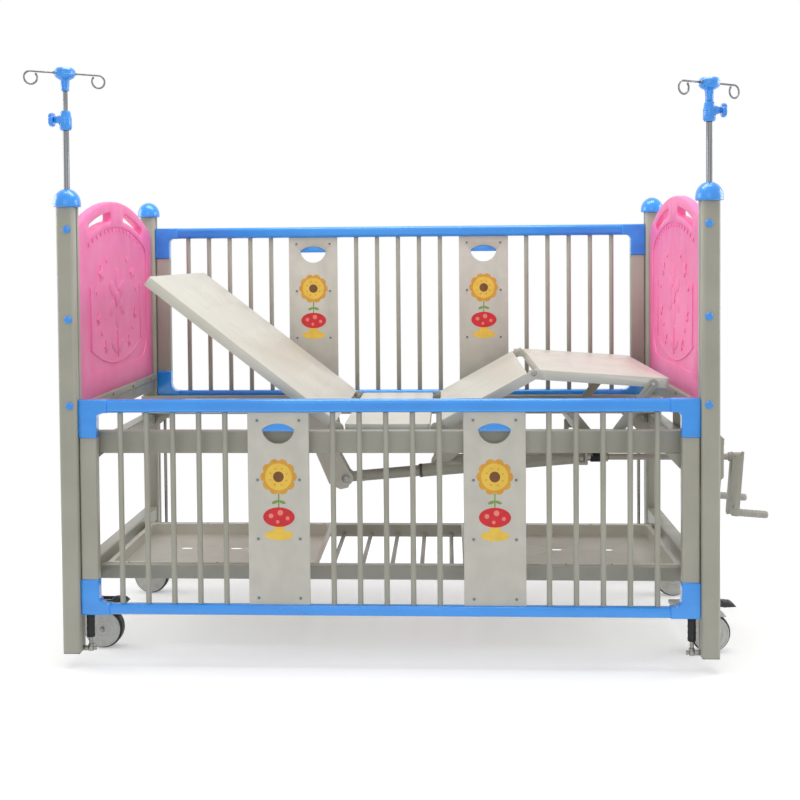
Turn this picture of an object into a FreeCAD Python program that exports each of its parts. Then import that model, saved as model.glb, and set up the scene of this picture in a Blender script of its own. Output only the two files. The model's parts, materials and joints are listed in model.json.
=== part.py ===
"""Pediatric hospital cot: a steel bed frame on four castors with drop-down side rails,
a four-section crank-operated deck, moulded end boards, a storage tray and two infusion poles.

Units are millimetres. +X runs from the head end to the foot end, +Y from the lowered side
rail to the raised one, +Z up from the floor. The cot is drawn about the middle of its four
posts and saved about the middle of its outer box.
"""
import FreeCAD, Part
import math
import os
from FreeCAD import Vector

# ---- posts -----------------------------------------------------------------------------
POST_PITCH_X = 1600.0        # head posts to foot posts, centre to centre
POST_PITCH_Y = 780.0         # side to side, centre to centre
POST_WIDTH = 46.0            # along X
POST_DEPTH = 50.0            # along Y
POST_CORNER = 9.0
POST_WALL = 2.5
POST_FOOT_Z = 40.0
POST_TOP_Z = 1168.0
GROOVE_WIDTH = 7.0           # rail guide groove in the inner face of each post
GROOVE_DEPTH = 5.0
DOME_RADIUS = 34.5
DOME_HEIGHT = 47.0
DOME_RIM = 9.0
CAP_PLUG_RADIUS = 14.0
CAP_PLUG_LENGTH = 20.0
BOLT_CAP_RADIUS = 9.5
BOLT_CAP_INSET = 6.5         # towards the middle of the cot from each post's centre line
BOLT_CAP_HEIGHT = 4.5
BOLT_CAP_CHAMFER = 1.5
BOLT_CAP_HEIGHTS = (668.0, 885.0, 1112.0)

# ---- upper bed frame -------------------------------------------------------------------
FRAME_TOP_Z = 598.0
FRAME_TUBE_HEIGHT = 58.0
SIDE_TUBE_WIDTH = 24.0
END_TUBE_WIDTH = 40.0
END_TUBE_HEIGHT = 32.0       # the end tubes lie right under the side tubes
TUBE_WALL = 2.0
CROSS_TUBE_WIDTH = 30.0
CROSS_TUBE_HEIGHT = 28.0
SEAT_CROSS_X = 60.0          # the two cross tubes under the fixed seat
DRIVE_CROSS_X = 515.0        # the cross tube that carries the drive hangers
HEAD_GUSSET = (52.0, 42.0)   # run along the side tube and drop down the post
FOOT_GUSSET = (80.0, 84.0)
GUSSET_THICKNESS = 4.0

# ---- end boards ------------------------------------------------------------------------
BOARD_THICKNESS = 24.0
BOARD_BOTTOM_Z = 668.0
BOARD_SHOULDER_Z = 1112.0
BOARD_PEAK_Z = 1199.0
BOARD_EDGE_ROUND = 6.0
BOARD_SHOULDER_ROUND = 30.0
FIELD_DEPTH = 3.0            # recessed field on both faces
FIELD_MARGIN = 62.0
FIELD_DROP = 71.0            # field arch below the board's arch
FIELD_CORNER = 40.0
SLOT_TOP_DROP = 28.0         # hand slots below the board's arch
SLOT_BOTTOM_DROP = 54.0
SLOT_INNER_Y = 58.0
SLOT_OUTER_Y = 258.0
SLOT_ROUND = 11.0
BOARD_RAIL_HEIGHT = 51.0
BOARD_RAIL_LIP = 18.0
BOARD_RAIL_LIP_PROUD = 3.0

# ---- lower frame and storage tray ------------------------------------------------------
LOWER_BEAM_BOTTOM_Z = 196.0
LOWER_BEAM_HEIGHT = 42.0
TRAY_RAIL_TOP_Z = 219.0
TRAY_RAIL_HEIGHT = 37.0
TRAY_RAIL_WIDTH = 30.0
TRAY_HALF_WIDTH = 213.0      # inner faces of the tray's side rails
TRAY_PAN_INNER_X = 205.0
TRAY_PAN_OUTER_X = 752.0
TRAY_PAN_DEPTH = 34.0
TRAY_SHEET = 1.5
TRAY_LIP = 12.0
DRAIN_LENGTH = 32.0
DRAIN_WIDTH = 16.0
DRAIN_ROUND = 7.5
DRAIN_X = (465.0, 610.0)
DRAIN_Y = 50.0
TRAY_ROD_RADIUS = 6.0
TRAY_ROD_PITCH = 81.5
TRAY_ROD_COUNT = 5

# ---- side rails ------------------------------------------------------------------------
RAIL_HEIGHT = 548.0
RAIL_LOW_Z = 134.0           # underside of a lowered rail
RAIL_TOP_DROP = 36.0         # a raised rail's top below the tops of the posts
RAIL_END_GAP = 1.5           # rail end to post face
RAIL_TUBE_HEIGHT = 34.0      # top tube
RAIL_LOWER_TUBE_HEIGHT = 28.0
RAIL_TUBE_DEPTH = 26.0
RAIL_TUBE_ROUND = 10.0
FITTING_DEPTH = 29.0
FITTING_LEG = 97.0
FITTING_LOWER_LEG = 91.0
FITTING_REACH = 72.0
FITTING_ROUND = 14.0
FITTING_LOWER_ROUND = 22.0
FITTING_EDGE_ROUND = 4.0
GUIDE_BORE_RADIUS = 8.0      # clears the guide rod's upper bracket
UPRIGHT_WIDTH = 44.0
UPRIGHT_DEPTH = 25.0
UPRIGHT_WALL = 2.5
UPRIGHT_SLOT = 10.0          # slot towards the post, for the guide rod's brackets
BAR_RADIUS = 7.0
BAR_WALL = 1.2
OUTER_BAR_X = 539.5          # middle bar of each outer group of five
BAR_PITCH = 66.7
BARS_PER_GROUP = 5
PANEL_X = 271.0
PANEL_WIDTH = 155.0
PANEL_THICKNESS = 10.0
HAND_HOLE_WIDTH = 82.0
HAND_HOLE_RISE = 15.0
HAND_HOLE_DROP = 37.0
HAND_HOLE_ROUND = 5.0
HAND_HOLE_BELOW_TOP = 76.5   # hole's corner line below the rail's top
LINER_DROP = 4.5             # a hole's grip liner ends this far below the corner line
LINER_THICKNESS = 6.0
TONGUE_LENGTH = 60.0
TONGUE_CLEARANCE = 0.5

# ---- rail guide rods -------------------------------------------------------------------
GUIDE_ROD_X = 757.0
GUIDE_ROD_RADIUS = 5.0
GUIDE_ROD_BOTTOM_Z = 40.0
GUIDE_ROD_TOP_GAP = 53.0     # rod's top below a lowered rail's upper fittings
GUIDE_ARM_HEIGHT = 12.0
GUIDE_ARM_THICKNESS = 6.0
BUFFER_RADIUS = 10.0
BUFFER_LENGTH = 58.0
SEAT_GAP = 0.3               # a piece that rests on another body

# ---- deck ------------------------------------------------------------------------------
DECK_TOP_Z = 609.0
DECK_SIDE_GAP = 11.0         # deck to side tube
DECK_SHEET = 2.0
DECK_FLANGE = 25.0
FLANGE_THICKNESS = 3.0
PIVOT_DROP = 9.0             # pivots below the deck's top
SEAT_HALF_LENGTH = 125.0     # middle of the cot to each deck hinge
BACKREST_LENGTH = 623.0
THIGH_LENGTH = 285.0
CALF_LENGTH = 341.0
KNUCKLE_RADIUS = 14.0
HINGE_PIN_RADIUS = 6.0
KNEE_PIN_RADIUS = 5.0
RUNNING_CLEARANCE = 0.06     # radial, pin in bore
HINGE_LUG_THICKNESS = 5.0
HINGE_STRAP = 40.0           # hinge ears along their section
HINGE_LUG_GAP = 3.0          # deck to hinge lug
BACKREST_REST = 38.0         # degrees above flat
THIGH_REST = 29.0
CALF_REST = -33.0            # relative to the thigh section
BEAD_RADIUS = 5.0            # pressed stiffening beads
BEAD_PROUD = 1.5
BEAD_PITCH = 46.0
BEAD_COUNT = 9
BEAD_LENGTH = 80.0
CALF_BEADS_FROM_END = 75.0
BACKREST_BEADS = (130.0, 323.0, 516.0)

# ---- calf struts -----------------------------------------------------------------------
STRUT_PIVOT_X = 300.0        # from the knee pivot, along the calf section
STRUT_PIVOT_DROP = 7.0
STRUT_LENGTH = 147.0
STRUT_HALF_WIDTH = 12.5
STRUT_THICKNESS = 5.0
STRUT_PIN_RADIUS = 4.0
STRUT_LEDGE_TOP_Z = 580.0
STRUT_LEDGE_X = (545.0, 612.0)

# ---- crank drives ----------------------------------------------------------------------
DRIVE_Y = 110.0              # each drive, from the middle of the cot
LEVER_RADIUS = 170.0
LEVER_PLATE = 6.0
LEVER_GAP = 32.0
LEVER_SIDE_GAP = 1.0         # push tube's eye to each lever plate
LEVER_BOSS = 20.0
LEVER_PIN_RADIUS = 7.0
LEVER_ROOT = (40.0, 205.0)   # where a lever joins its section, from the hinge
BACK_LEVER = ((-0.07, -0.35), (-0.10, -0.60), (0.08, -0.94), (0.04, -1.15), (-0.09, -1.18),
              (-0.27, -1.09), (-0.47, -0.62), (-0.70, 0.06))     # outlines, per lever radius
KNEE_LEVER = ((0.08, -0.35), (-0.09, -0.94), (0.11, -1.05), (0.44, -0.76), (0.65, 0.06))
BACK_SLEEVE_START = 202.0    # along each drive's line, from its lever pin
BACK_TUBE_END = 362.0
KNEE_SLEEVE_START = 100.0
KNEE_TUBE_END = 245.0
SHAFT_Z = 486.0
PUSH_TUBE_RADIUS = 15.0
PUSH_TUBE_BORE = 10.0
SLEEVE_RADIUS = 18.0
SLEEVE_CLEARANCE = 0.4
JOURNAL_LENGTH = 20.0        # screw bearing in the sleeve's crank end
SCREW_SETBACK = 40.0         # screw starts this far inside the sleeve
SCREW_RADIUS = 8.0
TRUNNION_RADIUS = 6.0
TRUNNION_SPAN = 60.0
SLEEVE_COLLAR = 4.0          # sleeve beyond its trunnions
HANGER_THICKNESS = 5.0
HANGER_GAP = 44.0
HANGER_HALF_LENGTH = 18.0
HANGER_FOOT = 8.0            # plate below the slot
HANGER_SLOT_RISE = 43.0
HANGER_SLOT_DROP = 4.0
HANGER_SLOT_SLACK = 4.0
JOINT_FORK_RADIUS = 13.0
JOINT_FORK_LENGTH = 22.0
CRANK_SHAFT_RADIUS = 8.5
CRANK_SHAFT_INNER_X = 575.0
HOUSING_REACH = 90.0         # crank housing face beyond the foot posts' centre line
HOUSING_BOTTOM_Z = 428.0
HOUSING_TOP_Z = 556.0
HOUSING_PLATE_TOP_Z = 592.0
HOUSING_HALF_WIDTH = 165.0
HOUSING_SHEET = 3.0
HOUSING_CHAMFER = 12.0
BEARING_LENGTH = 16.0
BEARING_PROUD = 4.0          # outer bearing beyond the housing's face
BEARING_RADIUS = 14.5
CRANK_WEB_X = 123.0          # crank arm's web beyond the foot posts' centre line
CRANK_TILT = 4.5             # degrees that the arm leans in at its foot
CRANK_ARM_DEPTH = 30.0
CRANK_ARM_WIDTH = 30.0
CRANK_ARM_SHEET = 3.0
CRANK_ARM_ABOVE = 13.0
CRANK_ARM_BELOW = 157.0
CRANK_LUG = (8.0, 5.0)       # stop lug on top of the arm, width and height
FOLD_PIN_X = 139.0
FOLD_PIN_DROP = 134.0
FOLD_PIN_RADIUS = 4.0
GRIP_OFFSET = 16.5
GRIP_RADIUS = 10.0
GRIP_END_X = 233.5
GRIP_START_X = 147.0

# ---- castors ---------------------------------------------------------------------------
CASTOR_Y = 245.0
CASTOR_TRAIL = 33.0
WHEEL_RADIUS = 52.0
WHEEL_HALF_WIDTH = 15.0
WHEEL_ROUND = 5.0
WHEEL_CORE_RADIUS = 37.0
AXLE_RADIUS = 4.0
COVER_RADIUS = 47.0
COVER_HALF_WIDTH = 20.0
COVER_GAP = 1.2
HOOD_CLEARANCE = 3.0
HOOD_RADIUS = 60.0
HOOD_TRIM = 44.0             # the hood starts this far above the wheel's axle
HEAD_RADIUS = 22.0
HEAD_TOP_Z = 112.0
SWIVEL_PIN_RADIUS = 9.0
STEM_RADIUS = 14.0
STEM_BOTTOM_Z = 142.0
STEM_PLATE = 38.0
STEM_PLATE_THICKNESS = 4.0
PEDAL_PIN = (20.0, 126.0)
PEDAL_PIN_RADIUS = 3.0
PEDAL_ARM_INNER = 13.5
PEDAL_ARM_OUTER = 18.0
PEDAL_THICKNESS = 8.0
PEDAL_REAR = (56.0, 99.0)
PEDAL_FRONT = (-68.0, -34.0)
PEDAL_CROWN = 2.0            # rear toe plate, proud of the arms above and below

# ---- infusion poles --------------------------------------------------------------------
POLE_OUTER_RADIUS = 8.0
POLE_BORE_RADIUS = 6.6
POLE_ROD_RADIUS = 6.3
POLE_OUTER_BOTTOM_Z = 960.0
POLE_OUTER_TOP_Z = 1404.0
COLLAR_BOTTOM_Z = 1361.0
COLLAR_TOP_Z = 1408.0
COLLAR_RADIUS = 15.5
ROD_BOTTOM_Z = 985.0
LOWERED_HEAD_Z = 1410.0      # underside of a pole head that is pushed fully down
HEAD_POLE_RAISE = 49.0       # how far the head-end pole is drawn out
POLE_HEAD_HEIGHT = 57.0
POLE_FLANGE_RADIUS = 25.5
POLE_FLANGE_HEIGHT = 24.0
POLE_CONE_RADIUS = 11.5
HOOK_WIRE_RADIUS = 2.5
HOOK_ARM = 84.0              # pole axis to the middle of the hook's loop
HOOK_LOOP_RADIUS = 16.0
HOOK_YAW = 32.0
HOOK_SWEEP = 305.0
HOOK_SOCKET = 6.0            # depth of the hooks' sockets in the pole head
KNOB_RADIUS = 17.5
KNOB_THICKNESS = 11.0
KNOB_START = 29.0
KNOB_DROP = 20.0             # knob's centre below the collar's top
KNOB_BOSS_RADII = (13.0, 7.5)
KNOB_STEM_RADIUS = 4.0
KNOB_LOBES = 6

# ---- values worked out from the above --------------------------------------------------
HALF_X = POST_PITCH_X / 2
HALF_Y = POST_PITCH_Y / 2
POST_FACE_X = HALF_X - POST_WIDTH / 2
POST_FACE_Y = HALF_Y - POST_DEPTH / 2
PIVOT_Z = DECK_TOP_Z - PIVOT_DROP
FRAME_BOTTOM_Z = FRAME_TOP_Z - FRAME_TUBE_HEIGHT
SIDE_TUBE_INNER_Y = POST_FACE_Y - SIDE_TUBE_WIDTH
END_FACE_X = HALF_X - END_TUBE_WIDTH / 2
END_OUTER_X = HALF_X + END_TUBE_WIDTH / 2
END_TUBE_BOTTOM_Z = FRAME_BOTTOM_Z - END_TUBE_HEIGHT
DECK_HALF_WIDTH = SIDE_TUBE_INNER_Y - DECK_SIDE_GAP
HINGE_LUG_Y = DECK_HALF_WIDTH + HINGE_LUG_GAP
RAIL_TRAVEL = POST_TOP_Z - RAIL_TOP_DROP - RAIL_HEIGHT - RAIL_LOW_Z
GUIDE_ROD_TOP_Z = RAIL_LOW_Z + RAIL_HEIGHT - FITTING_LEG - GUIDE_ROD_TOP_GAP
KNOB_Z = COLLAR_TOP_Z - KNOB_DROP
BACK_PIVOT = Vector(-SEAT_HALF_LENGTH, 0, PIVOT_Z)
THIGH_PIVOT = Vector(SEAT_HALF_LENGTH, 0, PIVOT_Z)
KNEE_PIVOT = THIGH_PIVOT + Vector(THIGH_LENGTH * math.cos(math.radians(THIGH_REST)), 0,
                                  THIGH_LENGTH * math.sin(math.radians(THIGH_REST)))
CALF_WORLD = THIGH_REST + CALF_REST
WHEEL_CENTRE = Vector(CASTOR_TRAIL, 0, WHEEL_RADIUS)
X_AXIS = Vector(1, 0, 0)
Y_AXIS = Vector(0, 1, 0)
Z_AXIS = Vector(0, 0, 1)


# ---- small helpers ---------------------------------------------------------------------
def box(x0, x1, y0, y1, z0, z1):
    """A box between two corners."""
    return Part.makeBox(x1 - x0, y1 - y0, z1 - z0, Vector(x0, y0, z0))


def rod(start, direction, length, radius):
    """A round bar from a point along a direction."""
    return Part.makeCylinder(radius, length, start, direction)


def round_edges(shape, radius, direction):
    """Fillet the straight edges that run along a direction."""
    edges = []
    for edge in shape.Edges:
        straight = isinstance(edge.Curve, Part.Line)
        if straight and abs(edge.tangentAt(edge.FirstParameter).dot(direction)) > 0.999:
            edges.append(edge)
    return shape.makeFillet(radius, edges)


def tube_box(x0, x1, y0, y1, z0, z1, wall, direction, radius=4.0):
    """A rectangular tube with rounded long edges, open at both ends along a direction."""
    outer = round_edges(box(x0, x1, y0, y1, z0, z1), radius, direction)
    gaps = [0.0 if abs(direction.dot(axis)) > 0.5 else wall for axis in (X_AXIS, Y_AXIS, Z_AXIS)]
    inner = box(x0 + gaps[0], x1 - gaps[0], y0 + gaps[1], y1 - gaps[1], z0 + gaps[2], z1 - gaps[2])
    return outer.cut(inner)


def prism(points, start, depth, axis):
    """A polygon in the plane across an axis, extruded along that axis."""
    wire = Part.makePolygon(points + [points[0]])
    face = Part.Face(wire)
    face.translate(start)
    return face.extrude(axis * depth)


def revolve(points, centre=Vector(0, 0, 0)):
    """A profile of (radius, height) points turned about the vertical axis."""
    wire = Part.makePolygon([Vector(r, 0, z) for r, z in points + [points[0]]])
    solid = Part.Face(wire).revolve(Vector(0, 0, 0), Z_AXIS, 360)
    solid.translate(centre)
    return solid


def moved(shape, x=0.0, y=0.0, z=0.0):
    """A copy of a shape, moved."""
    copy = shape.copy()
    copy.translate(Vector(x, y, z))
    return copy


def turned(shape, centre, axis, degrees):
    """A copy of a shape, turned about a line."""
    copy = shape.copy()
    copy.rotate(centre, axis, degrees)
    return copy


def flip_x(shape):
    """A shape mirrored to the other end of the cot."""
    return shape.mirror(Vector(0, 0, 0), X_AXIS)


def flip_y(shape):
    """A shape mirrored to the other side of the cot."""
    return shape.mirror(Vector(0, 0, 0), Y_AXIS)


def at_corners(shape):
    """Four copies of a piece made at the far foot corner, one for each corner."""
    pair = [shape, flip_x(shape)]
    return pair + [flip_y(item) for item in pair]


def fused(shapes):
    """Pieces welded into one solid."""
    return shapes[0].multiFuse(shapes[1:]).removeSplitter()


def write(nodes):
    """Write every node, moved from the middle of the posts to the middle of the outer box."""
    os.makedirs("parts", exist_ok=True)
    shapes = {name: Part.makeCompound(made) if isinstance(made, list) else made
              for name, made in nodes.items()}
    boxes = [shape.optimalBoundingBox(False) for shape in shapes.values()]
    shift_x = -(min(each.XMin for each in boxes) + max(each.XMax for each in boxes)) / 2
    shift_y = -(min(each.YMin for each in boxes) + max(each.YMax for each in boxes)) / 2
    for name, shape in shapes.items():
        moved(shape, shift_x, shift_y).exportStep("parts/%s.step" % name)


# ---- posts and frame -------------------------------------------------------------------
def corner_post():
    """The far foot post: a rounded tube with a guide groove in its inner face."""
    outer = box(POST_FACE_X, POST_FACE_X + POST_WIDTH, POST_FACE_Y, POST_FACE_Y + POST_DEPTH,
                POST_FOOT_Z, POST_TOP_Z)
    outer = round_edges(outer, POST_CORNER, Z_AXIS)
    inner = box(POST_FACE_X + POST_WALL, POST_FACE_X + POST_WIDTH - POST_WALL,
                POST_FACE_Y + POST_WALL, POST_FACE_Y + POST_DEPTH - POST_WALL,
                POST_FOOT_Z + POST_WALL, POST_TOP_Z)
    inner = round_edges(inner, POST_CORNER - POST_WALL, Z_AXIS)
    channel = box(POST_FACE_X + POST_WALL, POST_FACE_X + POST_WALL + GROOVE_DEPTH,
                  HALF_Y - GROOVE_WIDTH / 2 - POST_WALL, HALF_Y + GROOVE_WIDTH / 2 + POST_WALL,
                  POST_FOOT_Z, POST_TOP_Z)
    groove = box(POST_FACE_X - 1, POST_FACE_X + GROOVE_DEPTH,
                 HALF_Y - GROOVE_WIDTH / 2, HALF_Y + GROOVE_WIDTH / 2,
                 POST_FOOT_Z + 2 * POST_WALL, POST_TOP_Z + 1)
    return outer.cut(inner.cut(channel)).cut(groove)


def dome_cap(bored):
    """A domed post cap with a plug, bored where an infusion pole passes through it."""
    base = POST_TOP_Z
    rise = DOME_HEIGHT - DOME_RIM
    steps = 10
    dome = [(DOME_RADIUS * math.cos(math.pi / 2 * i / steps),
             base + DOME_RIM + rise * math.sin(math.pi / 2 * i / steps)) for i in range(steps)]
    profile = [(0, base - CAP_PLUG_LENGTH), (CAP_PLUG_RADIUS, base - CAP_PLUG_LENGTH),
               (CAP_PLUG_RADIUS, base), (DOME_RADIUS - 2, base), (DOME_RADIUS, base + 2)]
    cap = revolve(profile + dome + [(0, base + DOME_HEIGHT)])
    if bored:
        cap = cap.cut(rod(Vector(0, 0, base - CAP_PLUG_LENGTH), Z_AXIS, 2 * DOME_HEIGHT, POLE_OUTER_RADIUS))
    return cap


def post_caps():
    """Domes on all four posts and the round bolt caps on their outer faces."""
    pieces = []
    for side in (-1, 1):
        for end in (-1, 1):
            pieces.append(moved(dome_cap(side < 0), end * HALF_X, side * HALF_Y))
            for height in BOLT_CAP_HEIGHTS:
                start = Vector(end * (HALF_X - BOLT_CAP_INSET), side * (HALF_Y + POST_DEPTH / 2), height)
                cap = rod(start, Y_AXIS * side, BOLT_CAP_HEIGHT, BOLT_CAP_RADIUS)
                outer = HALF_Y + POST_DEPTH / 2 + BOLT_CAP_HEIGHT
                rim = [edge for edge in cap.Edges
                       if edge.BoundBox.YLength < 0.01 and abs(edge.BoundBox.YMin - side * outer) < 0.1]
                pieces.append(cap.makeChamfer(BOLT_CAP_CHAMFER, rim))
    return pieces


def side_frame():
    """Side tubes with their strut ledges, and the gussets that brace them to the posts."""
    tube = tube_box(-END_OUTER_X, END_OUTER_X, SIDE_TUBE_INNER_Y, POST_FACE_Y,
                    FRAME_BOTTOM_Z, FRAME_TOP_Z, TUBE_WALL, X_AXIS)
    ledge_inner = DECK_HALF_WIDTH + 1
    ledge = box(STRUT_LEDGE_X[0], STRUT_LEDGE_X[1], ledge_inner, SIDE_TUBE_INNER_Y + TUBE_WALL / 2,
                STRUT_LEDGE_TOP_Z - 5, STRUT_LEDGE_TOP_Z)
    side = tube.fuse(ledge)
    gussets = []
    for end, (run, drop) in ((-1, HEAD_GUSSET), (1, FOOT_GUSSET)):
        outline = [Vector(end * (POST_FACE_X - run), 0, FRAME_BOTTOM_Z),
                   Vector(end * END_FACE_X, 0, FRAME_BOTTOM_Z),
                   Vector(end * END_FACE_X, 0, FRAME_BOTTOM_Z - drop),
                   Vector(end * POST_FACE_X, 0, FRAME_BOTTOM_Z - drop)]
        plate = prism(outline, Vector(0, POST_FACE_Y - GUSSET_THICKNESS, 0), GUSSET_THICKNESS, Y_AXIS)
        gussets += [plate, flip_y(plate)]
    return [side, flip_y(side)] + gussets


def end_members():
    """Cross tubes between the posts, under the ends of the side tubes."""
    tube = tube_box(END_FACE_X, END_OUTER_X, -POST_FACE_Y, POST_FACE_Y,
                    END_TUBE_BOTTOM_Z, FRAME_BOTTOM_Z, TUBE_WALL, Y_AXIS)
    return [tube, flip_x(tube)]


def cross_tube(x):
    """A cross tube between the side tubes, right under the flat deck."""
    top = DECK_TOP_Z - DECK_FLANGE - 2
    return tube_box(x - CROSS_TUBE_WIDTH / 2, x + CROSS_TUBE_WIDTH / 2, -SIDE_TUBE_INNER_Y, SIDE_TUBE_INNER_Y,
                    top - CROSS_TUBE_HEIGHT, top, TUBE_WALL, Y_AXIS)


def board_outline(drop, half_width, bottom, corner, foot_corner):
    """A face across X: an arch parallel to the board's top, straight sides, round corners."""
    sagitta = BOARD_PEAK_Z - BOARD_SHOULDER_Z
    radius = (POST_FACE_Y ** 2 + sagitta ** 2) / (2 * sagitta) - drop
    centre = BOARD_PEAK_Z - drop - radius
    shoulder = centre + math.sqrt(radius ** 2 - half_width ** 2)
    left = Vector(0, -half_width, shoulder)
    right = Vector(0, half_width, shoulder)
    arch = Part.Arc(left, Vector(0, 0, BOARD_PEAK_Z - drop), right).toShape()
    sides = Part.makePolygon([right, Vector(0, half_width, bottom), Vector(0, -half_width, bottom), left])
    solid = Part.Face(Part.Wire([arch] + sides.Edges)).extrude(X_AXIS)
    for radius_now, low in ((corner, False), (foot_corner, True)):
        edges = [edge for edge in solid.Edges
                 if edge.BoundBox.ZLength < 0.01 and edge.BoundBox.YLength < 0.01
                 and (edge.BoundBox.ZMin < bottom + 1) == low]
        if radius_now > 0:
            solid = solid.makeFillet(radius_now, edges)
    return min(solid.Faces, key=lambda face: face.CenterOfMass.x)


def hand_slot():
    """A face across X: one arched slot on the +Y side of a board."""
    sagitta = BOARD_PEAK_Z - BOARD_SHOULDER_Z
    full = (POST_FACE_Y ** 2 + sagitta ** 2) / (2 * sagitta)
    centre = BOARD_PEAK_Z - full
    corners = []
    arcs = []
    for drop in (SLOT_TOP_DROP, SLOT_BOTTOM_DROP):
        radius = full - drop
        spots = [Vector(0, y, centre + math.sqrt(radius ** 2 - y ** 2))
                 for y in (SLOT_INNER_Y, (SLOT_INNER_Y + SLOT_OUTER_Y) / 2, SLOT_OUTER_Y)]
        arcs.append(Part.Arc(*spots).toShape())
        corners.append((spots[0], spots[2]))
    ends = [Part.makeLine(corners[0][0], corners[1][0]), Part.makeLine(corners[0][1], corners[1][1])]
    solid = Part.Face(Part.Wire([arcs[0], ends[1], arcs[1], ends[0]])).extrude(X_AXIS * BOARD_THICKNESS)
    return round_edges(solid, SLOT_ROUND, X_AXIS)


def end_board(end):
    """A moulded board with an arched top, two hand slots and a recessed field on each face."""
    outline = board_outline(0, POST_FACE_Y, BOARD_BOTTOM_Z, BOARD_SHOULDER_ROUND, 0)
    board = outline.extrude(X_AXIS * BOARD_THICKNESS)
    rim = [edge for edge in board.Edges
           if edge.BoundBox.XLength < 0.01 and edge.BoundBox.ZMax > BOARD_BOTTOM_Z + 1]
    board = board.makeFillet(BOARD_EDGE_ROUND, rim)
    field = board_outline(FIELD_DROP, POST_FACE_Y - FIELD_MARGIN, BOARD_BOTTOM_Z + FIELD_MARGIN,
                          FIELD_CORNER, 2 * FIELD_CORNER)
    pocket = field.extrude(X_AXIS * FIELD_DEPTH)
    slot = hand_slot()
    board = board.cut(pocket).cut(moved(pocket, BOARD_THICKNESS - FIELD_DEPTH)).cut(slot).cut(flip_y(slot))
    return moved(board, end * HALF_X - BOARD_THICKNESS / 2)


def board_rails():
    """Channels across the ends that carry the boards, each with a wider lip on top."""
    bottom = BOARD_BOTTOM_Z - BOARD_RAIL_HEIGHT
    lip_z = BOARD_BOTTOM_Z - BOARD_RAIL_LIP
    half = END_TUBE_WIDTH / 2
    body = tube_box(HALF_X - half, HALF_X + half, -POST_FACE_Y, POST_FACE_Y, bottom, lip_z, TUBE_WALL, Y_AXIS)
    lip = tube_box(HALF_X - half - BOARD_RAIL_LIP_PROUD, HALF_X + half + BOARD_RAIL_LIP_PROUD,
                   -POST_FACE_Y, POST_FACE_Y, lip_z, BOARD_BOTTOM_Z, TUBE_WALL, Y_AXIS, 3.0)
    rail = body.fuse(lip)
    return [rail, flip_x(rail)]


# ---- lower frame and tray --------------------------------------------------------------
def lower_frame():
    """The two lower end beams and the two rails that carry the storage tray."""
    beam = tube_box(END_FACE_X, END_OUTER_X, -POST_FACE_Y, POST_FACE_Y,
                    LOWER_BEAM_BOTTOM_Z, LOWER_BEAM_BOTTOM_Z + LOWER_BEAM_HEIGHT, TUBE_WALL, Y_AXIS)
    rail = tube_box(-END_FACE_X, END_FACE_X, TRAY_HALF_WIDTH, TRAY_HALF_WIDTH + TRAY_RAIL_WIDTH,
                    TRAY_RAIL_TOP_Z - TRAY_RAIL_HEIGHT, TRAY_RAIL_TOP_Z, TUBE_WALL, X_AXIS, 3.0)
    return [beam, flip_x(beam), rail, flip_y(rail)]


def tray_pans():
    """Two pressed pans with drain holes, hung on the tray rails by their lips."""
    top = TRAY_RAIL_TOP_Z + TRAY_SHEET
    outer = box(TRAY_PAN_INNER_X, TRAY_PAN_OUTER_X, -TRAY_HALF_WIDTH, TRAY_HALF_WIDTH,
                top - TRAY_PAN_DEPTH, top)
    lip = box(TRAY_PAN_INNER_X - TRAY_LIP, TRAY_PAN_OUTER_X + TRAY_LIP,
              -TRAY_HALF_WIDTH - TRAY_LIP, TRAY_HALF_WIDTH + TRAY_LIP, TRAY_RAIL_TOP_Z, top)
    inner = box(TRAY_PAN_INNER_X + TRAY_SHEET, TRAY_PAN_OUTER_X - TRAY_SHEET,
                TRAY_SHEET - TRAY_HALF_WIDTH, TRAY_HALF_WIDTH - TRAY_SHEET,
                top - TRAY_PAN_DEPTH + TRAY_SHEET, top + 1)
    pan = outer.fuse(lip).cut(round_edges(inner, 14.0, Z_AXIS))
    for x in DRAIN_X:
        drain = box(x - DRAIN_LENGTH / 2, x + DRAIN_LENGTH / 2, DRAIN_Y - DRAIN_WIDTH / 2,
                    DRAIN_Y + DRAIN_WIDTH / 2, top - TRAY_PAN_DEPTH - 1, top)
        pan = pan.cut(round_edges(drain, DRAIN_ROUND, Z_AXIS))
    return [pan, flip_x(pan)]


def tray_rods():
    """Round rods across the open middle of the tray."""
    middle = (TRAY_ROD_COUNT - 1) / 2
    height = TRAY_RAIL_TOP_Z - TRAY_RAIL_HEIGHT + TRAY_ROD_RADIUS + 2
    return [rod(Vector((i - middle) * TRAY_ROD_PITCH, -TRAY_HALF_WIDTH, height), Y_AXIS,
                2 * TRAY_HALF_WIDTH, TRAY_ROD_RADIUS) for i in range(TRAY_ROD_COUNT)]


# ---- side rails ------------------------------------------------------------------------
def rail_ends():
    """Inner X of the end fittings, of the uprights and the rail's outer end."""
    outer = POST_FACE_X - RAIL_END_GAP
    return outer - FITTING_REACH, outer - UPRIGHT_WIDTH, outer


def rail_tubes(low):
    """Top and bottom tubes of a rail, between its corner fittings."""
    reach = rail_ends()[0]
    half = RAIL_TUBE_DEPTH / 2
    tubes = []
    top = low + RAIL_HEIGHT
    for start, stop in ((low, low + RAIL_LOWER_TUBE_HEIGHT), (top - RAIL_TUBE_HEIGHT, top)):
        outer = box(-reach, reach, -half, half, start, stop)
        inner = box(-reach, reach, TUBE_WALL - half, half - TUBE_WALL, start + TUBE_WALL, stop - TUBE_WALL)
        tubes.append(round_edges(outer, RAIL_TUBE_ROUND, X_AXIS).cut(
            round_edges(inner, RAIL_TUBE_ROUND - TUBE_WALL, X_AXIS)))
    return tubes


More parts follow.
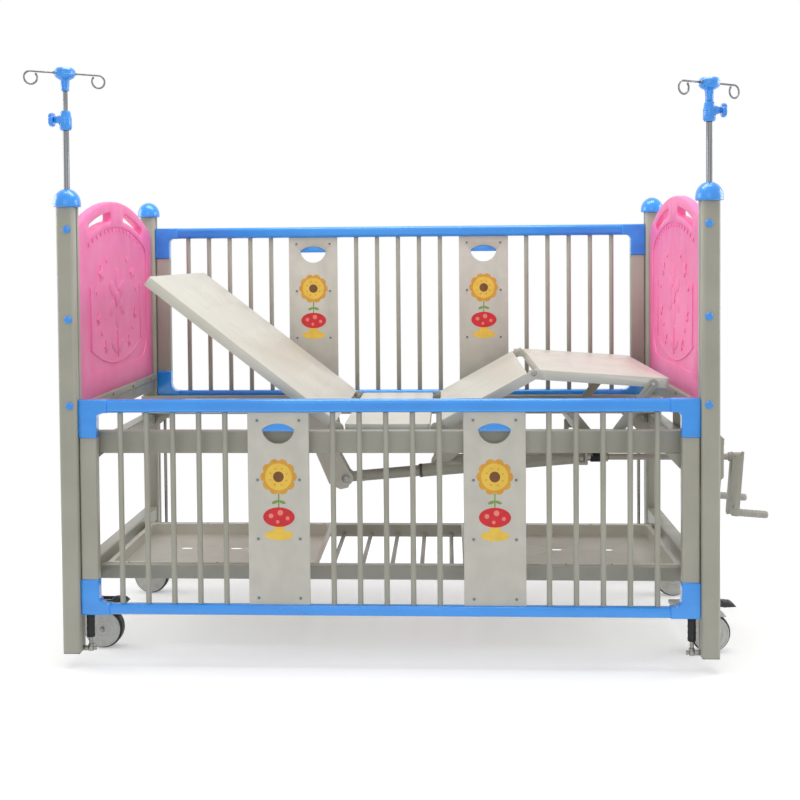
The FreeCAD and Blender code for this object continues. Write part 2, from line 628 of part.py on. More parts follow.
def corner_fitting(low, upper):
    """One moulded corner of a rail at the foot end: an L that joins a tube to an upright.

    An upper corner has a tongue that runs in the post's groove. A lower corner is bored and
    slotted to slide down over the guide rod and its bracket.
    """
    reach, inner, outer = rail_ends()
    half = FITTING_DEPTH / 2
    leg = FITTING_LEG if upper else FITTING_LOWER_LEG
    edge = low + RAIL_HEIGHT if upper else low
    tip = edge - leg if upper else edge + leg
    arm = edge - RAIL_TUBE_HEIGHT if upper else edge + RAIL_LOWER_TUBE_HEIGHT
    points = [Vector(outer, 0, edge), Vector(outer, 0, tip), Vector(inner, 0, tip),
              Vector(inner, 0, arm), Vector(reach, 0, arm), Vector(reach, 0, edge)]
    body = prism(points, Vector(0, -half, 0), FITTING_DEPTH, Y_AXIS)
    inside = [item for item in body.Edges
              if item.BoundBox.XLength < 0.01 and item.BoundBox.ZLength < 0.01
              and abs(item.BoundBox.XMin - inner) < 0.01 and abs(item.BoundBox.ZMin - arm) < 0.01]
    body = body.makeFillet(FITTING_ROUND if upper else FITTING_LOWER_ROUND, inside)
    rims = [item for item in body.Edges if item.BoundBox.YLength < 0.01 and item.BoundBox.XMin < outer - 1]
    body = body.makeFillet(FITTING_EDGE_ROUND, rims)
    start = min(edge, tip)
    if upper:
        half_tongue = GROOVE_WIDTH / 2 - TONGUE_CLEARANCE
        middle = start + leg / 2
        tongue = box(outer - 1, POST_FACE_X + GROOVE_DEPTH - TONGUE_CLEARANCE, -half_tongue, half_tongue,
                     middle - TONGUE_LENGTH / 2, middle + TONGUE_LENGTH / 2)
        return body.fuse(tongue)
    bore = rod(Vector(GUIDE_ROD_X, 0, start), Z_AXIS, leg, GUIDE_BORE_RADIUS)
    slot = box(GUIDE_ROD_X, outer, -UPRIGHT_SLOT / 2, UPRIGHT_SLOT / 2, start, start + leg)
    return body.cut(bore).cut(slot)


def rail_fittings(low):
    """The four corner fittings of a rail."""
    pieces = []
    for upper in (False, True):
        body = corner_fitting(low, upper)
        pieces += [body, flip_x(body)]
    return pieces


def rail_uprights(low):
    """Slotted uprights at both ends and the round bars between the tubes."""
    inner, outer = rail_ends()[1:]
    half = UPRIGHT_DEPTH / 2
    low_z = low + FITTING_LOWER_LEG
    high_z = low + RAIL_HEIGHT - FITTING_LEG
    solid = round_edges(box(inner, outer, -half, half, low_z, high_z), 5.0, Z_AXIS)
    hollow = box(inner + UPRIGHT_WALL, outer - UPRIGHT_WALL, UPRIGHT_WALL - half, half - UPRIGHT_WALL,
                 low_z, high_z)
    slot = box(outer - UPRIGHT_WALL, outer, -UPRIGHT_SLOT / 2, UPRIGHT_SLOT / 2, low_z, high_z)
    upright = solid.cut(hollow).cut(slot)
    pieces = [upright, flip_x(upright)]
    start = low + RAIL_LOWER_TUBE_HEIGHT
    length = RAIL_HEIGHT - RAIL_TUBE_HEIGHT - RAIL_LOWER_TUBE_HEIGHT
    middle = (BARS_PER_GROUP - 1) / 2
    for centre in (-OUTER_BAR_X, 0.0, OUTER_BAR_X):
        for i in range(BARS_PER_GROUP):
            foot = Vector(centre + (i - middle) * BAR_PITCH, 0, start)
            bar = rod(foot, Z_AXIS, length, BAR_RADIUS)
            pieces.append(bar.cut(rod(foot, Z_AXIS, length, BAR_RADIUS - BAR_WALL)))
    return pieces


def hand_hole(low):
    """A solid as thick as a panel in the shape of its hand hole, two arcs with round corners."""
    line = low + RAIL_HEIGHT - HAND_HOLE_BELOW_TOP
    front = -PANEL_THICKNESS / 2
    left = Vector(PANEL_X - HAND_HOLE_WIDTH / 2, front, line)
    right = Vector(PANEL_X + HAND_HOLE_WIDTH / 2, front, line)
    arcs = [Part.Arc(left, Vector(PANEL_X, front, line + rise), right).toShape()
            for rise in (HAND_HOLE_RISE, -HAND_HOLE_DROP)]
    hole = Part.Face(Part.Wire(arcs)).extrude(Y_AXIS * PANEL_THICKNESS)
    return round_edges(hole, HAND_HOLE_ROUND, Y_AXIS)


def rail_panels(low):
    """Two flat panels between the tubes, each with a hand hole near its top."""
    start = low + RAIL_LOWER_TUBE_HEIGHT
    stop = low + RAIL_HEIGHT - RAIL_TUBE_HEIGHT
    half = PANEL_THICKNESS / 2
    panel = box(PANEL_X - PANEL_WIDTH / 2, PANEL_X + PANEL_WIDTH / 2, -half, half, start, stop)
    panel = round_edges(panel, 2.0, Z_AXIS).cut(hand_hole(low))
    return [panel, flip_x(panel)]


def grip_liners(low):
    """Moulded liners set in the tops of the hand holes, that the fingers close on."""
    line = low + RAIL_HEIGHT - HAND_HOLE_BELOW_TOP
    half = LINER_THICKNESS / 2
    keep = box(PANEL_X - HAND_HOLE_WIDTH, PANEL_X + HAND_HOLE_WIDTH, -half, half,
               line - LINER_DROP, line + HAND_HOLE_WIDTH)
    liner = hand_hole(low).common(keep)
    return [liner, flip_x(liner)]


def side_rail(name, side, low):
    """The nodes of one side rail."""
    groups = {"tubes": rail_tubes(low), "corner_fittings": rail_fittings(low) + grip_liners(low),
              "bars": rail_uprights(low), "panels": rail_panels(low)}
    return {"%s_rail_%s" % (name, part): [moved(piece, 0, side * HALF_Y) for piece in pieces]
            for part, pieces in groups.items()}


# ---- rail guide rods -------------------------------------------------------------------
def guide_rods():
    """Upright rods beside the posts that steady the lowered rails."""
    bar = rod(Vector(GUIDE_ROD_X, HALF_Y, GUIDE_ROD_BOTTOM_Z), Z_AXIS,
              GUIDE_ROD_TOP_Z - GUIDE_ROD_BOTTOM_Z, GUIDE_ROD_RADIUS)
    return at_corners(bar)


def guide_brackets():
    """Arms that hold each guide rod to its post, at its foot and at its top."""
    pieces = []
    for height in (GUIDE_ROD_BOTTOM_Z, GUIDE_ROD_TOP_Z - GUIDE_ARM_HEIGHT):
        arm = box(GUIDE_ROD_X, POST_FACE_X, HALF_Y - GUIDE_ARM_THICKNESS / 2,
                  HALF_Y + GUIDE_ARM_THICKNESS / 2, height, height + GUIDE_ARM_HEIGHT)
        eye = rod(Vector(GUIDE_ROD_X, HALF_Y, height), Z_AXIS, GUIDE_ARM_HEIGHT, GUIDE_ROD_RADIUS + 2.5)
        bore = rod(Vector(GUIDE_ROD_X, HALF_Y, height), Z_AXIS, GUIDE_ARM_HEIGHT, GUIDE_ROD_RADIUS)
        pieces.append(arm.fuse(eye).cut(bore))
    return [copy for piece in pieces for copy in at_corners(piece)]


def rail_buffers():
    """Rubber sleeves on the guide rods that a lowered rail comes down on."""
    top = RAIL_LOW_Z - SEAT_GAP
    start = Vector(GUIDE_ROD_X, HALF_Y, top - BUFFER_LENGTH)
    outer = rod(start, Z_AXIS, BUFFER_LENGTH, BUFFER_RADIUS)
    return at_corners(outer.cut(rod(start, Z_AXIS, BUFFER_LENGTH, GUIDE_ROD_RADIUS)))


# ---- deck ------------------------------------------------------------------------------
def pressed_section(start, stop, flange=DECK_FLANGE, beads_at=()):
    """A flat pressed section with its sheet on top and flanges all round, pivot level at z = 0."""
    top = PIVOT_DROP
    outer = round_edges(box(start, stop, -DECK_HALF_WIDTH, DECK_HALF_WIDTH, top - flange, top), 12.0, Z_AXIS)
    inner = box(start + FLANGE_THICKNESS, stop - FLANGE_THICKNESS, FLANGE_THICKNESS - DECK_HALF_WIDTH,
                DECK_HALF_WIDTH - FLANGE_THICKNESS, top - flange, top - DECK_SHEET)
    section = outer.cut(round_edges(inner, 9.0, Z_AXIS))
    beads = []
    for centre in beads_at:
        for i in range(BEAD_COUNT):
            y = (i - (BEAD_COUNT - 1) / 2) * BEAD_PITCH
            bead = rod(Vector(centre - BEAD_LENGTH / 2, y, top + BEAD_PROUD - BEAD_RADIUS), X_AXIS,
                       BEAD_LENGTH, BEAD_RADIUS)
            beads.append(bead.common(box(start, stop, -DECK_HALF_WIDTH, DECK_HALF_WIDTH, top - 1, top + 10)))
    return fused([section] + beads) if beads else section


def hinge_ears(direction, inner_y, thickness, bore):
    """Rounded ears at a section's end, one each side, bored for the hinge pins."""
    ears = []
    for side in (-1, 1):
        y0 = inner_y if side > 0 else -inner_y - thickness
        x0, x1 = sorted((0.0, direction * HINGE_STRAP))
        strap = box(x0, x1, y0, y0 + thickness, PIVOT_DROP - DECK_FLANGE, PIVOT_DROP - DECK_SHEET)
        eye = rod(Vector(0, y0, 0), Y_AXIS, thickness, KNUCKLE_RADIUS)
        cap = box(-KNUCKLE_RADIUS, KNUCKLE_RADIUS, y0, y0 + thickness,
                  PIVOT_DROP - DECK_SHEET, KNUCKLE_RADIUS + 1)
        hole = rod(Vector(0, y0, 0), Y_AXIS, thickness, bore)
        ears.append(strap.fuse(eye).cut(cap).cut(hole))
    return ears


def lever_plates(shape, rest, side):
    """A pair of lever plates with the clevis pin between them, about a section's pivot.

    The shape is given as it hangs with the section at its resting angle.
    """
    sheet = PIVOT_DROP - DECK_SHEET
    outward = math.copysign(1, -rest)
    outline = [(outward * LEVER_ROOT[1], sheet), (outward * LEVER_ROOT[0], sheet)]
    outline += [flat_frame_point(x * LEVER_RADIUS, z * LEVER_RADIUS, rest) for x, z in shape]
    pin = flat_frame_point(0, -LEVER_RADIUS, rest)
    pieces = []
    for offset in (-LEVER_GAP / 2 - LEVER_PLATE, LEVER_GAP / 2):
        y0 = side * DRIVE_Y + offset
        plate = prism([Vector(x, 0, z) for x, z in outline], Vector(0, y0, 0), LEVER_PLATE, Y_AXIS)
        boss = rod(Vector(pin[0], y0, pin[1]), Y_AXIS, LEVER_PLATE, LEVER_BOSS)
        pieces.append(plate.fuse(boss))
    span = LEVER_GAP + 2 * LEVER_PLATE + 6
    pieces.append(rod(Vector(pin[0], side * DRIVE_Y - span / 2, pin[1]), Y_AXIS, span, LEVER_PIN_RADIUS))
    return pieces


def flat_frame_point(x, z, degrees):
    """Where a point beside a raised section's pivot lies in that section's own flat frame."""
    angle = math.radians(degrees)
    return (x * math.cos(angle) - z * math.sin(angle), x * math.sin(angle) + z * math.cos(angle))


def backrest():
    """The raised back section with its lever."""
    section = pressed_section(-BACKREST_LENGTH, -KNUCKLE_RADIUS - 1, beads_at=[-x for x in BACKREST_BEADS])
    ears = hinge_ears(-1, DECK_HALF_WIDTH - FLANGE_THICKNESS - HINGE_LUG_THICKNESS, HINGE_LUG_THICKNESS,
                      HINGE_PIN_RADIUS + RUNNING_CLEARANCE)
    lever = lever_plates(BACK_LEVER, BACKREST_REST, -1)
    flat = fused([section] + ears + lever)
    return moved(turned(flat, Vector(0, 0, 0), Y_AXIS, BACKREST_REST), BACK_PIVOT.x, 0, PIVOT_Z)


def thigh():
    """The raised thigh section with its lever and the knee pins."""
    section = pressed_section(KNUCKLE_RADIUS + 1, THIGH_LENGTH - KNUCKLE_RADIUS - 1)
    ears = hinge_ears(1, DECK_HALF_WIDTH - FLANGE_THICKNESS - HINGE_LUG_THICKNESS, HINGE_LUG_THICKNESS,
                      HINGE_PIN_RADIUS + RUNNING_CLEARANCE)
    knee = [moved(ear, THIGH_LENGTH) for ear in
            hinge_ears(-1, DECK_HALF_WIDTH - FLANGE_THICKNESS, FLANGE_THICKNESS, KNEE_PIN_RADIUS)]
    pins = []
    for side in (-1, 1):
        start = Vector(THIGH_LENGTH, side * (DECK_HALF_WIDTH + 1.5), 0)
        pins.append(rod(start, Y_AXIS * -side, 14.0, KNEE_PIN_RADIUS))
    lever = lever_plates(KNEE_LEVER, -THIGH_REST, 1)
    flat = fused([section] + ears + knee + pins + lever)
    return moved(turned(flat, Vector(0, 0, 0), Y_AXIS, -THIGH_REST), THIGH_PIVOT.x, 0, PIVOT_Z)


def calf():
    """The calf section, hinged to the thigh section, with the pins that carry its struts."""
    section = pressed_section(KNUCKLE_RADIUS + 1, CALF_LENGTH, 
                              beads_at=(CALF_BEADS_FROM_END, CALF_LENGTH - CALF_BEADS_FROM_END))
    ears = hinge_ears(1, DECK_HALF_WIDTH - FLANGE_THICKNESS - HINGE_LUG_THICKNESS - 0.5, HINGE_LUG_THICKNESS,
                      KNEE_PIN_RADIUS + RUNNING_CLEARANCE)
    pins = []
    for side in (-1, 1):
        start = Vector(STRUT_PIVOT_X, side * (DECK_HALF_WIDTH - FLANGE_THICKNESS), -STRUT_PIVOT_DROP)
        pins.append(rod(start, Y_AXIS * side, FLANGE_THICKNESS + STRUT_THICKNESS + 2.5, STRUT_PIN_RADIUS))
    flat = fused([section] + ears + pins)
    return moved(turned(flat, Vector(0, 0, 0), Y_AXIS, -CALF_WORLD), KNEE_PIVOT.x, 0, KNEE_PIVOT.z)


def strut_pivot():
    """Where the calf struts hang from the calf section."""
    angle = math.radians(CALF_WORLD)
    x = STRUT_PIVOT_X * math.cos(angle) + STRUT_PIVOT_DROP * math.sin(angle)
    z = STRUT_PIVOT_X * math.sin(angle) - STRUT_PIVOT_DROP * math.cos(angle)
    return KNEE_PIVOT + Vector(x, 0, z)


def calf_struts():
    """Swinging struts under the foot end of the calf section that stand on the side ledges."""
    pivot = strut_pivot()
    drop = pivot.z - STRUT_LEDGE_TOP_Z - SEAT_GAP - STRUT_HALF_WIDTH
    foot = pivot - Vector(math.sqrt(STRUT_LENGTH ** 2 - drop ** 2), 0, drop)
    along = (foot - pivot).normalize()
    across = Vector(-along.z, 0, along.x) * STRUT_HALF_WIDTH
    y0 = DECK_HALF_WIDTH + 1
    bar = prism([pivot + across, foot + across, foot - across, pivot - across],
                Vector(0, y0, 0), STRUT_THICKNESS, Y_AXIS)
    for spot in (pivot, foot):
        bar = bar.fuse(rod(spot + Vector(0, y0, 0), Y_AXIS, STRUT_THICKNESS, STRUT_HALF_WIDTH))
    hole = rod(pivot + Vector(0, y0, 0), Y_AXIS, STRUT_THICKNESS, STRUT_PIN_RADIUS + RUNNING_CLEARANCE)
    strut = bar.cut(hole).removeSplitter()
    return [strut, flip_y(strut)]


def seat_section():
    """The fixed middle section, resting on its two cross tubes."""
    end = SEAT_HALF_LENGTH - KNUCKLE_RADIUS - 2
    section = pressed_section(-end, end, DECK_FLANGE + 2)
    return moved(section, 0, 0, PIVOT_Z)


def deck_hinges():
    """Lugs on the side tubes with the pins that the back and thigh sections turn on."""
    top = PIVOT_Z
    base = FRAME_BOTTOM_Z + 12
    lug = box(-KNUCKLE_RADIUS, KNUCKLE_RADIUS, HINGE_LUG_Y, HINGE_LUG_Y + HINGE_LUG_THICKNESS, base, top)
    eye = rod(Vector(0, HINGE_LUG_Y, top), Y_AXIS, HINGE_LUG_THICKNESS, KNUCKLE_RADIUS)
    foot = box(-KNUCKLE_RADIUS, KNUCKLE_RADIUS, HINGE_LUG_Y, SIDE_TUBE_INNER_Y, base, FRAME_TOP_Z - 14)
    inner = DECK_HALF_WIDTH - FLANGE_THICKNESS - HINGE_LUG_THICKNESS - 2
    pin = rod(Vector(0, inner, top), Y_AXIS, HINGE_LUG_Y + HINGE_LUG_THICKNESS - inner, HINGE_PIN_RADIUS)
    hinge = fused([lug, eye, foot, pin])
    pieces = []
    for pivot in (BACK_PIVOT, THIGH_PIVOT):
        one = moved(hinge, pivot.x)
        pieces += [one, flip_y(one)]
    return pieces


# ---- crank drives ----------------------------------------------------------------------
class Drive:
    """One crank drive: its lever pin, its trunnion and the line between them."""

    def __init__(self, pivot, side, sleeve_start, tube_end):
        self.y = side * DRIVE_Y
        self.pin = Vector(pivot.x, self.y, pivot.z - LEVER_RADIUS)
        self.trunnion = Vector(DRIVE_CROSS_X, self.y, SHAFT_Z)
        self.length = (self.trunnion - self.pin).Length
        self.line = (self.trunnion - self.pin).normalize()
        self.sleeve_start = sleeve_start
        self.tube_end = tube_end

    def along(self, distance):
        """A point on the drive's line, measured from the lever pin."""
        return self.pin + self.line * distance

    def push_tube(self):
        """The tube that the lever is pinned to, with its eye."""
        width = LEVER_GAP - 2 * LEVER_SIDE_GAP
        neck_end = LEVER_BOSS + 14
        eye = rod(self.pin - Vector(0, width / 2, 0), Y_AXIS, width, LEVER_BOSS - 3)
        neck = rod(self.pin, self.line, neck_end, width / 2 - 1)
        body = rod(self.along(neck_end), self.line, self.tube_end - neck_end, PUSH_TUBE_RADIUS)
        bore = rod(self.along(neck_end + 10), self.line, self.tube_end, PUSH_TUBE_BORE)
        hole = rod(self.pin - Vector(0, width, 0), Y_AXIS, 2 * width, LEVER_PIN_RADIUS + RUNNING_CLEARANCE)
        return fused([eye, neck, body]).cut(bore).cut(hole)

    def sleeve(self):
        """The outer tube that hangs on the frame by its trunnions."""
        bore_radius = PUSH_TUBE_RADIUS + SLEEVE_CLEARANCE
        stop = self.length + TRUNNION_RADIUS + SLEEVE_COLLAR
        body = rod(self.along(self.sleeve_start), self.line, stop - self.sleeve_start, SLEEVE_RADIUS)
        pins = rod(self.trunnion - Vector(0, TRUNNION_SPAN / 2, 0), Y_AXIS, TRUNNION_SPAN, TRUNNION_RADIUS)
        journal_start = self.length - JOURNAL_LENGTH
        bore = rod(self.along(self.sleeve_start), self.line,
                   journal_start + SLEEVE_COLLAR - self.sleeve_start, bore_radius)
        journal = rod(self.along(journal_start), self.line, stop - journal_start + 1,
                      SCREW_RADIUS + RUNNING_CLEARANCE)
        return fused([body, pins]).cut(bore).cut(journal)

    def screw(self):
        """The lead screw inside the sleeve, with the joint fork at its crank end."""
        reach = self.length + TRUNNION_RADIUS + SLEEVE_COLLAR
        start = self.sleeve_start + SCREW_SETBACK
        shaft = rod(self.along(start), self.line, reach + 2 - start, SCREW_RADIUS)
        fork = rod(self.along(reach + 1), self.line, JOINT_FORK_LENGTH, JOINT_FORK_RADIUS)
        return shaft.fuse(fork)

    def hanger(self):
        """Slotted plates under the cross tube that let the trunnions float."""
        top = DECK_TOP_Z - DECK_FLANGE - 2 - CROSS_TUBE_HEIGHT
        half_slot = TRUNNION_RADIUS + HANGER_SLOT_SLACK
        low = self.trunnion.z - HANGER_SLOT_DROP - TRUNNION_RADIUS
        high = self.trunnion.z + HANGER_SLOT_RISE + TRUNNION_RADIUS + 1
        plates = []
        for offset in (-HANGER_GAP / 2 - HANGER_THICKNESS, HANGER_GAP / 2):
            y0 = self.y + offset
            plate = box(self.trunnion.x - HANGER_HALF_LENGTH, self.trunnion.x + HANGER_HALF_LENGTH,
                        y0, y0 + HANGER_THICKNESS, low - HANGER_FOOT, top)
            slot = box(self.trunnion.x - half_slot, self.trunnion.x + half_slot,
                       y0 - 1, y0 + HANGER_THICKNESS + 1, low, high)
            plates.append(round_edges(plate, 3.0, Y_AXIS).cut(slot))
        return plates

    def leaned(self, shape):
        """A piece of the crank arm, leaned in about the top of the arm's web."""
        return turned(shape, Vector(HALF_X + CRANK_WEB_X, self.y, SHAFT_Z), Y_AXIS, CRANK_TILT)

    def crank(self):
        """The crank: its shaft and its channel arm, hanging down."""
        web_x = HALF_X + CRANK_WEB_X
        shaft = rod(Vector(CRANK_SHAFT_INNER_X, self.y, SHAFT_Z), X_AXIS,
                    web_x + CRANK_ARM_DEPTH - 4 - CRANK_SHAFT_INNER_X, CRANK_SHAFT_RADIUS)
        fork = rod(Vector(CRANK_SHAFT_INNER_X - 8, self.y, SHAFT_Z), X_AXIS,
                   JOINT_FORK_LENGTH, JOINT_FORK_RADIUS)
        half = CRANK_ARM_WIDTH / 2
        outer = box(web_x, web_x + CRANK_ARM_DEPTH, self.y - half, self.y + half,
                    SHAFT_Z - CRANK_ARM_BELOW, SHAFT_Z + CRANK_ARM_ABOVE)
        outer = round_edges(outer, 10.0, X_AXIS)
        inner = box(web_x + CRANK_ARM_SHEET, web_x + CRANK_ARM_DEPTH + 1,
                    self.y - half + CRANK_ARM_SHEET, self.y + half - CRANK_ARM_SHEET,
                    SHAFT_Z - CRANK_ARM_BELOW - 1, SHAFT_Z + CRANK_ARM_ABOVE + 1)
        hub = rod(Vector(web_x - 8, self.y, SHAFT_Z), X_AXIS, CRANK_ARM_DEPTH + 2, half - CRANK_ARM_SHEET)
        pin = rod(Vector(HALF_X + FOLD_PIN_X, self.y - half - 1.5, SHAFT_Z - FOLD_PIN_DROP), Y_AXIS,
                  CRANK_ARM_WIDTH + 3, FOLD_PIN_RADIUS)
        top = SHAFT_Z + CRANK_ARM_ABOVE
        lug = box(web_x + CRANK_ARM_DEPTH - CRANK_LUG[0], web_x + CRANK_ARM_DEPTH, self.y - half,
                  self.y - half + CRANK_ARM_SHEET, top - half, top + CRANK_LUG[1])
        arm = self.leaned(fused([outer.cut(inner), lug, pin]))
        return fused([arm, hub, shaft, fork])

    def grip(self):
        """The handle that folds up into the channel arm."""
        pin = Vector(HALF_X + FOLD_PIN_X, self.y, SHAFT_Z - FOLD_PIN_DROP)
        width = CRANK_ARM_WIDTH - 2 * CRANK_ARM_SHEET - 1.0
        grip_z = pin.z - GRIP_OFFSET
        eye = rod(pin - Vector(0, width / 2, 0), Y_AXIS, width, FOLD_PIN_RADIUS + 5)
        block = box(pin.x - 5, HALF_X + GRIP_START_X + 6, self.y - width / 2, self.y + width / 2,
                    grip_z - GRIP_RADIUS + 1, pin.z)
        handle = rod(Vector(HALF_X + GRIP_START_X, self.y, grip_z), X_AXIS,
                     GRIP_END_X - GRIP_START_X, GRIP_RADIUS)
        far = [edge for edge in handle.Edges
               if edge.BoundBox.XLength < 0.01 and edge.BoundBox.XMin > HALF_X + GRIP_END_X - 1]
        handle = handle.makeFillet(6.0, far)
        hole = rod(pin - Vector(0, width, 0), Y_AXIS, 2 * width, FOLD_PIN_RADIUS + RUNNING_CLEARANCE)
        return self.leaned(fused([eye, round_edges(block, 3.0, Y_AXIS), handle]).cut(hole))


def crank_housing():
    """A folded sheet box across the foot end, with bearing bosses for both crank shafts."""
    near = END_OUTER_X
    far = HALF_X + HOUSING_REACH
    outline = [Vector(near, 0, HOUSING_BOTTOM_Z), Vector(far - HOUSING_CHAMFER, 0, HOUSING_BOTTOM_Z),
               Vector(far, 0, HOUSING_BOTTOM_Z + HOUSING_CHAMFER),
               Vector(far, 0, HOUSING_TOP_Z - HOUSING_CHAMFER),
               Vector(far - HOUSING_CHAMFER, 0, HOUSING_TOP_Z), Vector(near, 0, HOUSING_TOP_Z)]
    shell = prism(outline, Vector(0, -HOUSING_HALF_WIDTH, 0), 2 * HOUSING_HALF_WIDTH, Y_AXIS)
    sheet = HOUSING_SHEET
    hollow = box(near + sheet, far - sheet, sheet - HOUSING_HALF_WIDTH, HOUSING_HALF_WIDTH - sheet,
                 HOUSING_BOTTOM_Z + sheet + HOUSING_CHAMFER / 2, HOUSING_TOP_Z - sheet - HOUSING_CHAMFER / 2)
    plate = box(near, near + sheet, -HOUSING_HALF_WIDTH, HOUSING_HALF_WIDTH,
                HOUSING_BOTTOM_Z, HOUSING_PLATE_TOP_Z)
    bodies = [shell.cut(hollow), plate]
    bores = []
    for y in (-DRIVE_Y, DRIVE_Y):
        for x in (near, far - BEARING_LENGTH + BEARING_PROUD):
            bodies.append(rod(Vector(x, y, SHAFT_Z), X_AXIS, BEARING_LENGTH, BEARING_RADIUS))
        bores.append(rod(Vector(near - 5, y, SHAFT_Z), X_AXIS, HOUSING_REACH,
                         CRANK_SHAFT_RADIUS + RUNNING_CLEARANCE))
    housing = fused(bodies)
    for bore in bores:
        housing = housing.cut(bore)
    return housing


# ---- castors ---------------------------------------------------------------------------
def castor_housing():
    """The swivelling body of a castor: side covers, hood, swivel head and pin, axle and ears."""
    hub = WHEEL_CENTRE
    width = 2 * COVER_HALF_WIDTH
    start = Vector(0, -COVER_HALF_WIDTH, 0)
    disc = rod(hub + start, Y_AXIS, width, COVER_RADIUS)
    hood = rod(hub + start, Y_AXIS, width, HOOD_RADIUS)
    trim = box(-HOOD_RADIUS, 2 * HOOD_RADIUS + hub.x, -width, width, hub.z - HOOD_RADIUS, hub.z + HOOD_TRIM)
    arm = prism([Vector(-HEAD_RADIUS, 0, HEAD_TOP_Z), Vector(-HEAD_RADIUS, 0, HEAD_TOP_Z - 12),
                 Vector(hub.x - COVER_RADIUS + 6, 0, hub.z), Vector(hub.x, 0, hub.z),
                 Vector(hub.x + 16, 0, hub.z + HOOD_RADIUS - 6), Vector(hub.x, 0, HEAD_TOP_Z)],
                start, width, Y_AXIS)
    cavity = rod(hub - Vector(0, WHEEL_HALF_WIDTH + COVER_GAP, 0), Y_AXIS,
                 2 * (WHEEL_HALF_WIDTH + COVER_GAP), WHEEL_RADIUS + HOOD_CLEARANCE)
    body = fused([disc, hood.cut(trim), arm]).cut(cavity)
    head = rod(Vector(0, 0, HEAD_TOP_Z - 6), Z_AXIS, 6, HEAD_RADIUS)
    swivel = rod(Vector(0, 0, HEAD_TOP_Z - 2), Z_AXIS,
                 LOWER_BEAM_BOTTOM_Z - STEM_PLATE_THICKNESS - 6 - HEAD_TOP_Z, SWIVEL_PIN_RADIUS)
    axle = rod(hub + start - Vector(0, 1.5, 0), Y_AXIS, width + 3, AXLE_RADIUS)
    pieces = [body, head, swivel, axle]
    pin_x, pin_z = PEDAL_PIN
    for side in (-1, 1):
        y0 = min(side * 9.0, side * (PEDAL_ARM_INNER - 0.5))
        ear = box(pin_x - 7, pin_x + 7, y0, y0 + PEDAL_ARM_INNER - 9.5, HEAD_TOP_Z - 4, pin_z)
        eye = rod(Vector(pin_x, y0, pin_z), Y_AXIS, PEDAL_ARM_INNER - 9.5, 7)
        pin = rod(Vector(pin_x, side * 9.0, pin_z), Y_AXIS * side, PEDAL_ARM_OUTER - 8, PEDAL_PIN_RADIUS)
        pieces += [ear, eye, pin]
    return fused(pieces)


def castor_wheel():
    """A castor wheel: its core on the axle and the tyre round it."""
    hub = WHEEL_CENTRE
    start = hub - Vector(0, WHEEL_HALF_WIDTH, 0)
    tyre = rod(start, Y_AXIS, 2 * WHEEL_HALF_WIDTH, WHEEL_RADIUS)
    tyre = tyre.makeFillet(WHEEL_ROUND, [edge for edge in tyre.Edges if edge.BoundBox.YLength < 0.01])
    tyre = tyre.cut(rod(start, Y_AXIS, 2 * WHEEL_HALF_WIDTH, WHEEL_CORE_RADIUS))
    core = rod(start, Y_AXIS, 2 * WHEEL_HALF_WIDTH, WHEEL_CORE_RADIUS)
    core = core.cut(rod(start, Y_AXIS, 2 * WHEEL_HALF_WIDTH, AXLE_RADIUS + RUNNING_CLEARANCE))
    return [tyre, core]


def castor_pedal():
    """The rocking brake pedal, with a toe plate at each end."""
    pin_x, pin_z = PEDAL_PIN
    low = pin_z - PEDAL_THICKNESS / 2
    high = pin_z + PEDAL_THICKNESS / 2
    pieces = []
    for side in (-1, 1):
        y0 = PEDAL_ARM_INNER if side > 0 else -PEDAL_ARM_OUTER
        thickness = PEDAL_ARM_OUTER - PEDAL_ARM_INNER
        pieces.append(box(PEDAL_FRONT[1] - 4, PEDAL_REAR[0] + 4, y0, y0 + thickness, low, high))
        pieces.append(rod(Vector(pin_x, y0, pin_z), Y_AXIS, thickness, 6))
    rear = prism([Vector(PEDAL_REAR[0], 0, high), Vector(PEDAL_REAR[0] + 14, 0, high + PEDAL_CROWN),
                  Vector(PEDAL_REAR[1] - 10, 0, high), Vector(PEDAL_REAR[1], 0, low),
                  Vector(PEDAL_REAR[0] + 12, 0, low - PEDAL_CROWN), Vector(PEDAL_REAR[0], 0, low)],
                 Vector(0, -PEDAL_ARM_OUTER, 0), 2 * PEDAL_ARM_OUTER, Y_AXIS)
    front = box(PEDAL_FRONT[0], PEDAL_FRONT[1], -PEDAL_ARM_OUTER, PEDAL_ARM_OUTER, low, high)
    front = round_edges(front, 3, Y_AXIS)
    pedal = fused(pieces + [rear, front])
    hole = rod(Vector(pin_x, -PEDAL_ARM_OUTER, pin_z), Y_AXIS, 2 * PEDAL_ARM_OUTER,
               PEDAL_PIN_RADIUS + RUNNING_CLEARANCE)
    return pedal.cut(hole)


def castor_stems():
    """Swivel sockets with their plates, fixed under the lower end beams."""
    top = LOWER_BEAM_BOTTOM_Z
    half = STEM_PLATE / 2
    plate = box(-half, half, -half, half, top - STEM_PLATE_THICKNESS, top)
    stem = rod(Vector(0, 0, STEM_BOTTOM_Z), Z_AXIS, top - STEM_BOTTOM_Z, STEM_RADIUS)
    bore = rod(Vector(0, 0, STEM_BOTTOM_Z - 1), Z_AXIS, top - STEM_PLATE_THICKNESS - STEM_BOTTOM_Z,
               SWIVEL_PIN_RADIUS + RUNNING_CLEARANCE)
    one = round_edges(plate, 6, Z_AXIS).fuse(stem).cut(bore)
    return [moved(one, x, y) for x in (-HALF_X, HALF_X) for y in (-CASTOR_Y, CASTOR_Y)]


